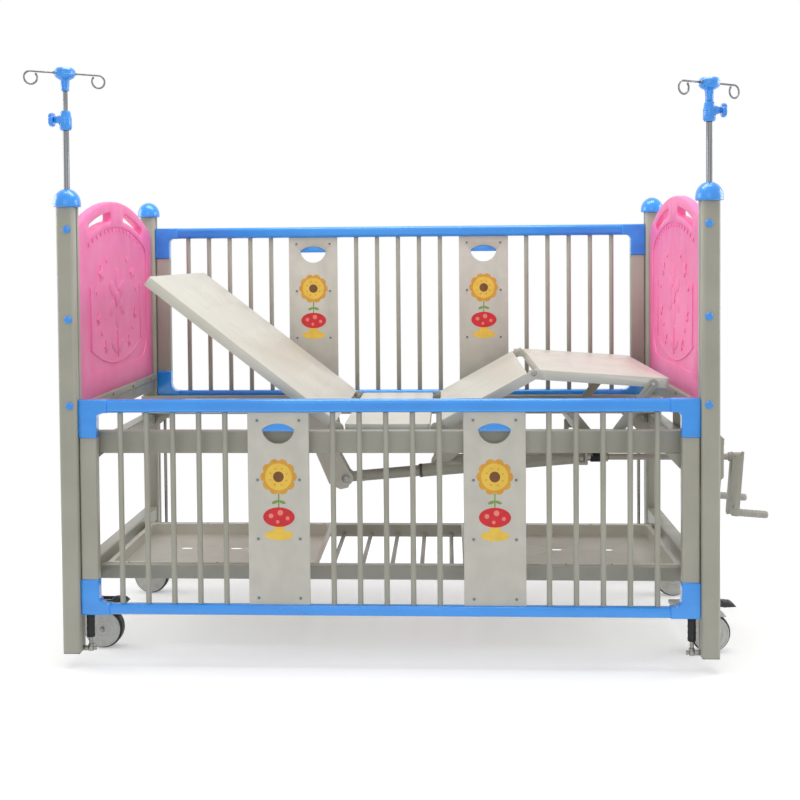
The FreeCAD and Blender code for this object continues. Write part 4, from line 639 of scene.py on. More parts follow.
class Workshop:
    """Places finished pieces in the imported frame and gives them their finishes."""

    def __init__(self, frame: dict) -> None:
        """Measure where the middle of the posts lies.

        Args:
            frame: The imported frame.
        """
        self.frame = frame
        low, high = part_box("corner_posts")
        self.middle = Vector(((low[0] + high[0]) / 2, (low[1] + high[1]) / 2, 0.0))
        self.made: Dict[Stuff, bpy.types.Material] = {}

    def finish(self, stuff: Stuff) -> bpy.types.Material:
        """One material for each finish, made when it is first asked for."""
        if stuff not in self.made:
            self.made[stuff] = stuff.value.build()
        return self.made[stuff]

    def place(self, spot: Spot) -> Vector:
        """A point about the middle of the posts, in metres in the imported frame."""
        return self.middle + Vector(spot) * MM

    def set_down(self, piece: Piece) -> None:
        """Turn a shaped piece into an object that rides on its body.

        Args:
            piece: The piece, whose form is used up.
        """
        stuffs = [piece.stuff] if isinstance(piece.stuff, Stuff) else list(piece.stuff)
        shape = piece.form.mesh
        matrix = Matrix.Translation(self.middle) @ Matrix.Scale(MM, 4) @ piece.about
        bmesh.ops.transform(shape, matrix=matrix, verts=shape.verts)
        mesh = bpy.data.meshes.new(piece.name)
        shape.to_mesh(mesh)
        shape.free()
        mesh.shade_smooth()
        mesh.set_sharp_from_angle(angle=math.radians(SHARP_ANGLE))
        for stuff in stuffs:
            mesh.materials.append(self.finish(stuff))
        item = bpy.data.objects.new(piece.name, mesh)
        bpy.context.scene.collection.objects.link(item)
        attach(item, piece.body)
        LOG.info("%s: %d faces on %s", piece.name, len(mesh.polygons), piece.body)


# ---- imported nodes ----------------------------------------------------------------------
@dataclass
class Coating:
    """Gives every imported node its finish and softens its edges."""

    edge: float = 0.6
    crease: float = 35.0
    merge: float = 1e-5

    def apply(self, shop: Workshop) -> None:
        """Finish all the nodes by their material slots, but for the struts and the grips.

        Args:
            shop: The workshop.
        """
        special = {"calf_struts": Stuff.FRAME, "backrest_crank_grip": Stuff.GRIP,
                   "knee_crank_grip": Stuff.GRIP}
        by_slot = {stuff.value.slot: stuff for stuff in reversed(Stuff)}
        subparts = shop.frame["record"]["subparts"]
        slots = {part["node"]: part["material_slot"] for part in subparts}
        for name, item in shop.frame["nodes"].items():
            item.data.materials.clear()
            item.data.materials.append(shop.finish(special.get(name, by_slot[slots[name]])))
            for polygon in item.data.polygons:
                polygon.use_smooth = True
            weld = item.modifiers.new("weld", "WELD")
            weld.merge_threshold = self.merge
            bevel = item.modifiers.new("edges", "BEVEL")
            bevel.width = self.edge * MM
            bevel.segments = 2
            bevel.limit_method = "ANGLE"
            bevel.angle_limit = math.radians(self.crease)
            bevel.harden_normals = True
            LOG.info("%s: %s", name, slots[name])


# ---- frame -----------------------------------------------------------------------------
@dataclass
class FrameFittings(Kit):
    """Plugs, welds and bolts on the posts and the frame."""

    post_x: float = 800.0
    post_y: float = 390.0
    inner_x: float = 777.0
    seam_y: float = 364.4
    side_tube_top: float = 598.0
    end_x: Pair = (780.0, 820.0)
    end_z: Pair = (508.0, 540.0)
    rail_z: Pair = (617.0, 668.0)
    rail_bolts: Tuple[float, ...] = (-300.0, -100.0, 100.0, 300.0)
    rail_bolt_z: float = 659.0
    gusset_bolt: Spot = (768.0, 361.0, 528.0)
    beam_z: Pair = (196.0, 238.0)
    tray_seam: Spot = (243.0, 200.0, 217.0)
    bead: float = 2.0
    thin_bead: float = 1.8

    def foot_plugs(self) -> Form:
        """Pressed-in plugs that close the feet of the posts.

        Returns:
            The mesh, in millimetres.
        """
        form = Form()
        for end, side in CORNERS:
            x, y = end * self.post_x, side * self.post_y
            form.block((x, y, 39.2), (42.0, 46.0, 3.4), 1.2)
            form.barrel((x, y, 36.6), UP, 1.6, 9.0, bevel=0.5)
        return form

    def welds(self) -> Form:
        """Weld beads where tubes meet the posts.

        Returns:
            The mesh, in millimetres.
        """
        form = Form()
        seams = ((self.end_z[0] + 3, self.end_z[1] - 3), (self.beam_z[0] + 3, self.beam_z[1] - 3),
                 (self.rail_z[0] + 3, self.rail_z[1] - 20))
        for end, side in CORNERS:
            y = side * self.seam_y
            near, far = end * self.end_x[0], end * self.end_x[1]
            for x in (near, far):
                for low, high in seams:
                    form.weld((x, y, low), (x, y, high), self.bead)
            for z in (self.beam_z[1], self.rail_z[0], self.end_z[0]):
                form.weld((near + end * 4, y, z), (far - end * 4, y, z), self.thin_bead)
            top = self.side_tube_top - 0.5
            form.weld((end * (self.inner_x + 1), y, top), (far - end, y, top), self.bead)
            tray_y, low, high = self.tray_seam
            form.weld((near, side * tray_y, low), (near, side * tray_y, high), self.thin_bead)
        return form

    def bolts(self) -> Form:
        """Bolts through the board rails and the gussets.

        Returns:
            The mesh, in millimetres.
        """
        form = Form()
        for end in SIDES:
            for y in self.rail_bolts:
                for face, way in ((self.end_x[0] - 3, -end), (self.end_x[1] + 3, end)):
                    form.bolt((end * face, y, self.rail_bolt_z), (way, 0, 0), 4.2)
            x, y, z = self.gusset_bolt
            for side in SIDES:
                form.bolt((end * x, side * y, z), (0, -side, 0), 4.0)
        return form

    def pieces(self) -> List[Piece]:
        """The plugs, the welds and the bolts."""
        return [Piece("post_foot_plugs", "frame", Stuff.DARK, self.foot_plugs()),
                Piece("frame_welds", "frame", Stuff.FRAME, self.welds()),
                Piece("frame_bolts", "frame", Stuff.ZINC, self.bolts())]


# ---- end boards ------------------------------------------------------------------------
@dataclass
class EndBoards(Kit):
    """Moulded relief on both faces of the two end boards."""

    middle_x: float = 800.0
    field_face: float = 9.0
    proud: float = 2.8
    arch_radius: float = 809.2
    arch_centre: float = 389.8
    tick_drop: float = 80.0
    tick_pitch: float = 36.0
    flute_y: float = 240.0
    curve_z: float = 1335.0
    curve_radius: float = 593.0
    curve_sweep: float = 50.0
    flower_z: float = 925.0
    petal_reach: float = 56.0
    stars: Tuple[Spot, ...] = ((150.0, 72.0, 24.0), (178.0, -52.0, 18.0), (112.0, -132.0, 20.0))
    dots: Tuple[Pair, ...] = ((96.0, 108.0), (190.0, 20.0), (146.0, -92.0))

    def arch(self, drop: float, y: float) -> float:
        """Height of a curve that runs below the board's top.

        Args:
            drop: How far below the top it runs.
            y: Distance from the middle.

        Returns:
            The height.
        """
        return self.arch_centre + math.sqrt((self.arch_radius - drop) ** 2 - y ** 2)

    def motif(self, form: Form, x: float, way: int) -> None:
        """A flower on its stem with stars and dots round it.

        Args:
            form: The mesh it joins.
            x: Where the field's face lies.
            way: Which way the face looks.
        """
        look = (way, 0, 0)
        height = self.proud - 0.4
        for i in range(6):
            angle = math.radians(60 * i + 90)
            spot = (x, self.petal_reach * math.cos(angle),
                    self.flower_z + self.petal_reach * math.sin(angle))
            form.ball(spot, (height, 32.0, 19.0), Matrix.Rotation(angle, 4, "X"), 20)
        form.medal((x, 0, self.flower_z), look, 22.0, height, bevel=1.4)
        form.ring((x, 0, self.flower_z), look, 28.0, 1.8)
        form.block((x, 0, self.flower_z - 131), (2 * height, 8.0, 76.0), 1.6)
        for side in SIDES:
            form.ball((x, side * 32, self.flower_z - 140), (height, 32.0, 12.0),
                      Matrix.Rotation(side * math.radians(28), 4, "X"), 20)
            for y, z, size in self.stars:
                form.medal((x, side * y, self.flower_z + z), look, size, height, 5, size * 0.45,
                           spin=90, bevel=0.8)
            for y, z in self.dots:
                form.medal((x, side * y, self.flower_z + z), look, 7.0, height, 20, bevel=0.8)

    def rim(self, form: Form, x: float, way: int) -> None:
        """Ticks along the arch, flutes at the sides and a hanging curve below.

        Args:
            form: The mesh it joins.
            x: Where the field's face lies.
            way: Which way the face looks.
        """
        thick = 2 * self.proud
        for i in range(-7, 8):
            y = i * self.tick_pitch
            lean = math.asin(y / self.arch_radius)
            form.block((x, y, self.arch(self.tick_drop, y)), (thick, 9.0, 11.0), 1.6,
                       Matrix.Rotation(-lean, 4, "X"))
        for side in SIDES:
            form.block((x, side * self.flute_y, 866.0), (thick, 12.0, 156.0), 2.0)
            form.block((x, side * self.flute_y, 954.0), (thick, 18.0, 18.0), 2.0)
        form.ring((x, 0, self.curve_z), (way, 0, 0), self.curve_radius, 2.2,
                  start=270 - self.curve_sweep / 2, sweep=self.curve_sweep, steps=64)

    def relief(self, end: int) -> Form:
        """All the relief of one board.

        Args:
            end: -1 for the head board, 1 for the foot board.

        Returns:
            The mesh.
        """
        form = Form()
        for way in SIDES:
            x = end * self.middle_x + way * self.field_face
            self.motif(form, x, way)
            self.rim(form, x, way)
        return form

    def pieces(self) -> List[Piece]:
        """The relief of both boards."""
        return [Piece(name + "_board_relief", "frame", Stuff.PINK, self.relief(end))
                for end, name in ((-1, "head"), (1, "foot"))]


# ---- side rails ------------------------------------------------------------------------
@dataclass
class SideRail(Kit):
    """Screws and printed panels of one side rail."""

    name: str
    side: int
    top: float
    line_y: float = 390.0
    panel_x: float = 271.0
    half_thickness: float = 5.0
    screw_x: float = 53.0
    screw_rows: Tuple[float, ...] = (54.0, 204.0, 353.5, 504.0)
    flower_drop: float = 196.0
    toadstool_drop: float = 298.0
    petal_reach: float = 33.0
    seed_reach: float = 22.0
    dots: Tuple[Spot, ...] = ((-20.0, 3.0, 6.0), (4.0, 11.0, 7.0), (22.0, -3.0, 5.0),
                              (-3.0, -12.0, 4.5))
    inks: Tuple[Stuff, ...] = (Stuff.INK_GOLD, Stuff.INK_AMBER, Stuff.INK_BROWN, Stuff.INK_RED,
                               Stuff.INK_ROSE, Stuff.INK_GREEN)

    def panels(self) -> Iterable[Tuple[float, int]]:
        """The middle of each panel with each way that it looks."""
        return [(end * self.panel_x, way) for end, way in CORNERS]

    def face(self, way: int) -> float:
        """Where a face of the panels lies across the cot."""
        return self.side * self.line_y + way * self.half_thickness

    def screws(self) -> Form:
        """The eight screws in each face of each panel.

        Returns:
            The mesh, in millimetres.
        """
        form = Form()
        for x, way in self.panels():
            for row in self.screw_rows:
                for step in (-self.screw_x, self.screw_x):
                    form.screw((x + step, self.face(way), self.top - row), (0, way, 0), 3.6)
        return form

    def flower(self, form: Form, x: float, way: int) -> None:
        """A round gold flower with amber petals and a brown heart.

        Args:
            form: The mesh it joins.
            x: Middle of the panel.
            way: Which way the panel looks.
        """
        y, z, look = self.face(way), self.top - self.flower_drop, (0, way, 0)
        form.ink = self.inks.index(Stuff.INK_AMBER)
        for i in range(10):
            angle = math.radians(36 * i)
            form.medal((x + self.petal_reach * math.cos(angle), y,
                        z + self.petal_reach * math.sin(angle)), look, 13.0,
                       0.2 + 0.08 * (i % 2), 20)
        form.ink = self.inks.index(Stuff.INK_GOLD)
        form.medal((x, y, z), look, 34.0, 0.35, 40)
        form.ink = self.inks.index(Stuff.INK_BROWN)
        form.medal((x, y, z), look, 13.5, 0.45, 28)
        form.ink = self.inks.index(Stuff.INK_AMBER)
        for i in range(8):
            angle = math.radians(45 * i + 20)
            form.medal((x + self.seed_reach * math.cos(angle), y,
                        z + self.seed_reach * math.sin(angle)), look, 2.4, 0.45, 10)

    def toadstool(self, form: Form, x: float, way: int) -> None:
        """A red toadstool with rose dots on a gold mound, under the flower's stem.

        Args:
            form: The mesh it joins.
            x: Middle of the panel.
            way: Which way the panel looks.
        """
        y, z, look = self.face(way), self.top - self.toadstool_drop, (0, way, 0)
        form.ink = self.inks.index(Stuff.INK_GREEN)
        form.block((x, y, z + 42), (3.4, 0.4, 36.0))
        for side in SIDES:
            form.medal((x + side * 9, y, z + 38), look, 9.0, 0.25, 20, stretch=(1.0, 0.42),
                       spin=20 * side * way)
        form.ink = self.inks.index(Stuff.INK_GOLD)
        form.medal((x, y, z - 46), look, 36.0, 0.25, 32, stretch=(1.0, 0.36))
        form.medal((x, y, z - 26), look, 15.0, 0.3, 28, stretch=(0.9, 1.6))
        form.ink = self.inks.index(Stuff.INK_RED)
        form.medal((x, y, z), look, 40.0, 0.4, 36, stretch=(1.0, 0.62))
        form.ink = self.inks.index(Stuff.INK_ROSE)
        for step, rise, size in self.dots:
            form.medal((x + step, y, z + rise), look, size, 0.5, 20)

    def prints(self) -> Form:
        """The printed picture on each face of each panel.

        Returns:
            The mesh, in millimetres.
        """
        form = Form()
        for x, way in self.panels():
            self.flower(form, x, way)
            self.toadstool(form, x, way)
        return form

    def pieces(self) -> List[Piece]:
        """The screws and the prints."""
        body = self.name + "_rail"
        return [Piece(body + "_panel_screws", body, Stuff.PASSIVATED, self.screws()),
                Piece(body + "_panel_prints", body, self.inks, self.prints())]


@dataclass
class GuideRods(Kit):
    """Ribs on the buffers and clamp bolts on the guide rods' brackets."""

    rod_x: float = 757.0
    rod_y: float = 390.0
    first_rib: float = 127.7
    rib_pitch: float = 15.3
    arm_z: Pair = (46.0, 526.0)
    nut_z: float = 52.3

    def ribs(self) -> Form:
        """Four ribs round each rubber buffer.

        Returns:
            The mesh, in millimetres.
        """
        form = Form()
        for end, side in CORNERS:
            for i in range(4):
                spot = (end * self.rod_x, side * self.rod_y, self.first_rib - i * self.rib_pitch)
                form.ring(spot, UP, 9.9, 0.9, steps=24)
        return form

    def bolts(self) -> Form:
        """Clamp bolts on the brackets' arms and a nut under each rod.

        Returns:
            The mesh, in millimetres.
        """
        form = Form()
        for end, side in CORNERS:
            x, y = end * self.rod_x, side * self.rod_y
            for z in self.arm_z:
                form.barrel((x - end * 7.0, y, z), (-end, 0, 0), 3.0, 3.4, sides=16)
                form.barrel((x - end * 9.5, y, z), (-end, 0, 0), 4.2, 5.4, bevel=0.6, sides=18)
            form.barrel((x, y, self.nut_z), UP, 5.0, 7.6, bevel=0.8, sides=6)
        return form

    def pieces(self) -> List[Piece]:
        """The ribs and the bolts."""
        return [Piece("buffer_ribs", "frame", Stuff.RUBBER, self.ribs()),
                Piece("guide_rod_bolts", "frame", Stuff.ZINC, self.bolts())]


# ---- deck ------------------------------------------------------------------------------
@dataclass
class Deck(Kit):
    """Ribs under the deck sections and the bolts at their hinges."""

    hinge_x: float = 125.0
    pivot_z: float = 600.0
    thigh_length: float = 285.0
    thigh_lean: float = 29.0
    calf_lean: float = -4.0
    back_lean: float = 38.0
    half_width: float = 330.0
    lug_seam: Spot = (340.4, 552.0, 582.0)
    back_ribs: Tuple[float, ...] = (-235.0, -30.0, 60.0, 235.0)
    thigh_ribs: Tuple[float, ...] = (-235.0, -60.0, 30.0, 235.0)
    wide_ribs: Tuple[float, ...] = (-200.0, 0.0, 200.0)

    def about(self, x: float, z: float, lean: float) -> Matrix:
        """Where a section's own flat frame lies in the cot.

        Args:
            x: Its pivot along the cot.
            z: Its pivot's height.
            lean: Its angle at rest, in degrees.

        Returns:
            Its place and turn.
        """
        return (Matrix.Translation(Vector((x, 0.0, z)))
                @ Matrix.Rotation(math.radians(-lean), 4, "Y"))

    def ribs(self, start: float, stop: float, rows: Sequence[float]) -> Form:
        """Pressed hat ribs under a section's sheet.

        Args:
            start: Where they begin along the section.
            stop: Where they end.
            rows: Their places across it.

        Returns:
            The mesh, in the section's own frame.
        """
        form = Form()
        middle = (start + stop) / 2
        for y in rows:
            form.block((middle, y, 1.5), (stop - start, 22.0, 11.0), 3.2)
            for step in (-16.0, 16.0):
                form.block((middle, y + step, 6.2), (stop - start - 8, 12.0, 1.6), 0.5)
        return form

    def knee_bolts(self) -> Form:
        """Bolts at the ends of the knee pin, in the calf's frame.

        Returns:
            The mesh, in millimetres.
        """
        form = Form()
        for side in SIDES:
            form.bolt((0.0, side * (self.half_width + 0.3), 0.0), (0, side, 0), 6.2)
        return form

    def hinge_bolts(self) -> Form:
        """Nuts on the pins that carry the back and thigh sections.

        Returns:
            The mesh, in millimetres.
        """
        form = Form()
        y, low, high = self.lug_seam
        for end, side in CORNERS:
            x = end * self.hinge_x
            form.bolt((x, side * (self.half_width - 10.2), self.pivot_z), (0, -side, 0), 8.0)
            form.weld((x - 12, side * y, low), (x - 12, side * y, high), 1.8)
        return form

    def pieces(self) -> List[Piece]:
        """The ribs in their sections' frames, and the bolts.

        Returns:
            The pieces; the backrest's frame runs towards the head.
        """
        slope = math.radians(self.thigh_lean)
        back = self.about(-self.hinge_x, self.pivot_z, -self.back_lean)
        seat = self.about(0.0, self.pivot_z, 0.0)
        thigh = self.about(self.hinge_x, self.pivot_z, self.thigh_lean)
        calf = self.about(self.hinge_x + self.thigh_length * math.cos(slope),
                          self.pivot_z + self.thigh_length * math.sin(slope), self.calf_lean)
        return [Piece("backrest_ribs", "backrest", Stuff.DECK,
                      self.ribs(-600.0, -60.0, self.back_ribs), back),
                Piece("thigh_ribs", "thigh", Stuff.DECK,
                      self.ribs(60.0, 262.0, self.thigh_ribs), thigh),
                Piece("calf_ribs", "calf", Stuff.DECK,
                      self.ribs(30.0, 325.0, self.wide_ribs), calf),
                Piece("seat_ribs", "frame", Stuff.DECK,
                      self.ribs(-104.0, 104.0, self.wide_ribs), seat),
                Piece("knee_pin_bolts", "calf", Stuff.ZINC, self.knee_bolts(), calf),
                Piece("hinge_nuts", "frame", Stuff.FRAME, self.hinge_bolts())]


# ---- drives ----------------------------------------------------------------------------
@dataclass
class Drive(Kit):
    """Fastenings, seals and grip details of one crank drive."""

    name: str
    section: str
    pivot_x: float
    y: float
    sleeve_start: float
    lever: float = 170.0
    pivot_z: float = 600.0
    trunnion_x: float = 515.0
    shaft_z: float = 486.0
    web_x: float = 923.0
    tilt: float = 4.5
    collar_start: float = 44.0
    pin_half_length: float = 24.2
    arm_side: float = 15.2
    fold_pin_drop: float = 134.0
    grip_drop: float = 150.5

    def pin(self) -> Vector:
        """Where the push tube is pinned to the lever."""
        return Vector((self.pivot_x, self.y, self.pivot_z - self.lever))

    def line(self) -> Vector:
        """The direction of the drive, from the lever pin to the trunnion."""
        return (Vector((self.trunnion_x, self.y, self.shaft_z)) - self.pin()).normalized()

    def leaned(self) -> Matrix:
        """Where the crank arm's own frame lies; its origin is the shaft's axis in the web."""
        return (Matrix.Translation(Vector((self.web_x, self.y, self.shaft_z)))
                @ Matrix.Rotation(math.radians(self.tilt), 4, "Y"))

    def clevis(self) -> Form:
        """Bolt heads at both ends of the lever pin.

        Returns:
            The mesh, in millimetres.
        """
        form = Form()
        pin = self.pin()
        for side in SIDES:
            form.bolt((pin.x, pin.y + side * self.pin_half_length, pin.z), (0, side, 0), 9.0)
        return form

    def collar(self) -> Form:
        """The turned collar at the push tube's neck.

        Returns:
            The mesh, in millimetres.
        """
        form = Form()
        spot = self.pin() + self.line() * self.collar_start
        form.barrel(tuple(spot), tuple(self.line()), 5.0, 15.8, bevel=1.2, sides=32)
        return form

    def seal(self) -> Form:
        """The three lips at the open end of the sleeve.

        Returns:
            The mesh, in millimetres.
        """
        form = Form()
        for step, radius in ((0.5, 16.6), (3.0, 17.7), (6.5, 17.7)):
            spot = self.pin() + self.line() * (self.sleeve_start + step)
            form.ring(tuple(spot), tuple(self.line()), radius, 1.4, steps=36)
        return form

    def boot(self) -> Form:
        """The ribbed rubber boot over the joint between screw and crank shaft.

        Returns:
            The mesh, in millimetres.
        """
        form = Form()
        for i in range(8):
            form.ring((545.0 + 4.4 * i, self.y, self.shaft_z), TO_FOOT, 11.8, 2.6, steps=28)
        form.barrel((577.0, self.y, self.shaft_z), TO_FOOT, 14.0, 14.2, tip=11.0, bevel=1.2,
                    sides=28)
        return form

    def arm_parts(self) -> Form:
        """The hub nut, the fold pin's rivet heads and the rivets of the arm's web.

        Returns:
            The mesh, in millimetres.
        """
        form = Form()
        form.bolt((25.5, 0.0, 0.0), TO_FOOT, 8.0)
        for side in SIDES:
            form.ball((16.0, side * (self.arm_side + 1.4), -self.fold_pin_drop), (5.2, 2.2, 5.2))
            for z in (-112.0, 4.0):
                form.ball((9.0, side * self.arm_side, z), (2.6, 1.4, 2.6))
        return form

    def grip_parts(self) -> Form:
        """Rings round the grip and its end cap.

        Returns:
            The mesh, in millimetres.
        """
        form = Form()
        for i in range(7):
            form.ring((38.0 + 10.0 * i, 0.0, -self.grip_drop), TO_FOOT, 9.6, 0.9, steps=28)
        form.barrel((109.2, 0.0, -self.grip_drop), TO_FOOT, 1.2, 5.0, bevel=0.4, sides=20)
        return form

    def pieces(self) -> List[Piece]:
        """The drive's small parts, from the lever to the grip."""
        name, crank = self.name, self.name + "_crank_body"
        return [Piece(name + "_clevis_bolts", self.section, Stuff.ZINC, self.clevis()),
                Piece(name + "_tube_collar", name + "_tube", Stuff.FRAME, self.collar()),
                Piece(name + "_sleeve_seal", name + "_sleeve_body", Stuff.RUBBER, self.seal()),
                Piece(name + "_joint_boot", crank, Stuff.RUBBER, self.boot()),
                Piece(name + "_crank_fasteners", crank, Stuff.ZINC, self.arm_parts(),
                      self.leaned()),
                Piece(name + "_grip_rings", name + "_grip_body", Stuff.GRIP, self.grip_parts(),
                      self.leaned())]


@dataclass
class CrankHousing(Kit):
    """Screws on the crank housing and seals round the crank shafts."""

    face_x: float = 890.0
    plate_x: float = 823.0
    plate_screw_z: float = 577.0
    columns: Tuple[float, ...] = (-150.0, -50.0, 50.0, 150.0)
    rows: Pair = (446.0, 538.0)
    drive_y: float = 110.0
    shaft_z: float = 486.0

    def screws(self) -> Form:
        """The screws round the housing's face and along its mounting plate.

        Returns:
            The mesh, in millimetres.
        """
        form = Form()
        for y in self.columns:
            for z in self.rows:
                form.screw((self.face_x, y, z), TO_FOOT, 4.2)
            form.screw((self.plate_x, y, self.plate_screw_z), TO_FOOT, 4.6)
        return form

    def seals(self) -> Form:
        """A rubber ring round each crank shaft.

        Returns:
            The mesh, in millimetres.
        """
        form = Form()
        for side in SIDES:
            form.ring((self.face_x + 4.2, side * self.drive_y, self.shaft_z), TO_FOOT, 10.6, 1.5,
                      steps=30)
        return form

    def pieces(self) -> List[Piece]:
        """The screws and the seals."""
        return [Piece("crank_housing_screws", "frame", Stuff.ZINC, self.screws()),
                Piece("crank_shaft_seals", "frame", Stuff.RUBBER, self.seals())]


# ---- castors ---------------------------------------------------------------------------
@dataclass
class Castor(Kit):
    """Cover rings, axle bolts, bearing and pedal pads of one castor."""

    name: str
    x: float
    y: float
    trail: float = 33.0
    hub_z: float = 52.0
    cover: float = 20.0
    spoke_reach: float = 24.0
    race_z: float = 114.2
    nut_z: float = 130.0

    def covers(self) -> Form:
        """Raised rings and a hub cap on both covers.

        Returns:
            The mesh, in millimetres.
        """
        form = Form()
        for side in SIDES:
            spot = (self.x + self.trail, self.y + side * self.cover, self.hub_z)
            for radius, wire in ((43.5, 1.1), (31.0, 0.9), (17.5, 1.2)):
                form.ring(spot, (0, side, 0), radius, wire, steps=48)
            form.barrel(spot, (0, side, 0), 1.3, 13.0, tip=10.5, bevel=0.4, sides=28)
            for i in range(6):
                angle = math.radians(60 * i)
                form.ball((spot[0] + self.spoke_reach * math.cos(angle), spot[1],
                           spot[2] + self.spoke_reach * math.sin(angle)),
                          (5.4, 0.9, 2.0), Matrix.Rotation(-angle, 4, "Y"), 12)
        return form

    def metal(self) -> Form:
        """Axle bolts, the swivel's ball race and its nut.

        Returns:
            The mesh, in millimetres.
        """
        form = Form()
        for side in SIDES:
            form.bolt((self.x + self.trail, self.y + side * (self.cover + 1.4), self.hub_z),
                      (0, side, 0), 6.4)
        form.ring((self.x, self.y, self.race_z), UP, 16.5, 3.0, steps=36)
        form.barrel((self.x, self.y, self.nut_z), UP, 9.0, 12.5, bevel=1.0, sides=6)
        return form

    def pads(self) -> Form:
        """Cross ribs on the dark toe plate.

        Returns:
            The mesh, in millimetres.
        """
        form = Form()
        for i in range(3):
            form.block((self.x + 66.0 + 8.0 * i, self.y, 132.0 - 0.5 * i), (3.0, 30.0, 1.8), 0.6)
        return form

    def release(self) -> Form:
        """A pale cap over the plate that lets the brake go.

        Returns:
            The mesh, in millimetres.
        """
        form = Form()
        form.block((self.x - 51.0, self.y, 126.0), (37.0, 38.0, 10.0), 2.4)
        for i in range(3):
            form.block((self.x - 59.0 + 8.0 * i, self.y, 131.2), (3.0, 28.0, 1.6), 0.5)
        return form

    def pieces(self) -> List[Piece]:
        """The castor's small parts."""
        name, pedal = self.name, self.name + "_pedal_body"
        return [Piece(name + "_covers", name, Stuff.NYLON, self.covers()),
                Piece(name + "_metal", name, Stuff.ZINC, self.metal()),
                Piece(name + "_pedal_pads", pedal, Stuff.DARK, self.pads()),
                Piece(name + "_release_cap", pedal, Stuff.NYLON, self.release())]


# ---- infusion poles --------------------------------------------------------------------
@dataclass
class InfusionPole(Kit):
    """Rings, ferrules and ball ends on one infusion pole."""

    end: str
    x: float
    base: float
    y: float = -390.0
    head_height: float = 57.0
    flange: float = 25.0
    hook_drop: float = 12.0
    hook_yaw: float = 32.0
    hook_arm: float = 84.0
    hook_sweep: float = 305.0
    loop: float = 16.0
    collar_rings: Pair = (1368.0, 1388.0)
    collar_top: float = 1408.0
    knob_z: float = 1388.0

    def head_rings(self) -> Form:
        """Moulded rings round the head and the boss on its top.

        Returns:
            The mesh, in millimetres.
        """
        form = Form()
        top = self.base + self.head_height
        for z in (top - 7.5, top - 17.0):
            form.ring((self.x, self.y, z), UP, self.flange, 1.1, steps=44)
        form.barrel((self.x, self.y, top - 0.6), UP, 1.8, 12.0, tip=10.0, bevel=0.5, sides=28)
        form.ring((self.x, self.y, self.base + 3.0), UP, 9.6, 1.2, steps=30)
        return form

    def hook_ends(self) -> Form:
        """Ferrules where the hooks leave the head and balls on their tips.

        Returns:
            The mesh, in millimetres.
        """
        form = Form()
        root = Vector((self.x, self.y, self.base + self.head_height - self.hook_drop))
        angle = math.radians(90 - self.hook_sweep)
        for half in (0, 180):
            yaw = math.radians(self.hook_yaw + half)
            way = Vector((math.cos(yaw), math.sin(yaw), 0.0))
            form.barrel(tuple(root + way * self.flange), tuple(way), 4.0, 4.6, tip=3.6, bevel=0.5,
                        sides=18)
            tip = (root + way * (self.hook_arm + self.loop * math.cos(angle))
                   + Vector(UP) * self.loop * (math.sin(angle) - 1))
            form.ball(tuple(tip), (3.3, 3.3, 3.3))
        return form

    def collar_parts(self) -> Form:
        """Rings on the fixed collar.

        Returns:
            The mesh, in millimetres.
        """
        form = Form()
        for z in self.collar_rings:
            form.ring((self.x, self.y, z), UP, 15.3, 1.0, steps=36)
        form.ring((self.x, self.y, self.collar_top), UP, 9.2, 1.6, steps=32)
        return form

    def knob_cap(self) -> Form:
        """The cap set in the middle of the clamp knob.

        Returns:
            The mesh, in millimetres.
        """
        form = Form()
        way = -1 if self.end == "head" else 1
        form.barrel((self.x + way * 39.6, self.y, self.knob_z), (way, 0, 0), 1.5, 8.6, tip=7.4,
                    bevel=0.5, sides=24)
        form.ring((self.x + way * 40.0, self.y, self.knob_z), (way, 0, 0), 10.4, 0.7, steps=28)
        return form

    def pieces(self) -> List[Piece]:
        """The pole's small parts."""
        body = self.end + "_pole"
        return [Piece(body + "_head_rings", body, Stuff.BLUE, self.head_rings()),
                Piece(body + "_hook_ends", body, Stuff.STAINLESS, self.hook_ends()),
                Piece(body + "_collar_rings", "frame", Stuff.BLUE, self.collar_parts()),
                Piece(body + "_knob_cap", self.end + "_knob", Stuff.BLUE, self.knob_cap())]


# ---- tray ------------------------------------------------------------------------------
@dataclass
class Tray(Kit):
    """Rivets that hold the tray pans and welds on the tray rods."""

    rivets_x: Tuple[float, ...] = (225.0, 345.0, 465.0, 585.0, 705.0)
    rivet_y: float = 221.0
    rivet_z: float = 220.5
    rod_pitch: float = 81.5
    rod_end_y: float = 212.4
    rod_z: float = 190.0

    def rivets(self) -> Form:
        """Domed rivets along both edges of both pans.

        Returns:
            The mesh, in millimetres.
        """
        form = Form()
        for end, side in CORNERS:
            for x in self.rivets_x:
                form.ball((end * x, side * self.rivet_y, self.rivet_z), (3.6, 3.6, 1.6), rounds=12)
        return form

    def welds(self) -> Form:
        """A bead round each end of each tray rod.

        Returns:
            The mesh, in millimetres.
        """
        form = Form()
        for i in range(-2, 3):
            for side in SIDES:
                form.ring((i * self.rod_pitch, side * self.rod_end_y, self.rod_z), (0, side, 0),
                          6.4, 1.5, steps=20)
        return form

    def pieces(self) -> List[Piece]:
        """The rivets and the welds."""
        return [Piece("tray_rivets", "frame", Stuff.ZINC, self.rivets()),
                Piece("tray_rod_welds", "frame", Stuff.FRAME, self.welds())]


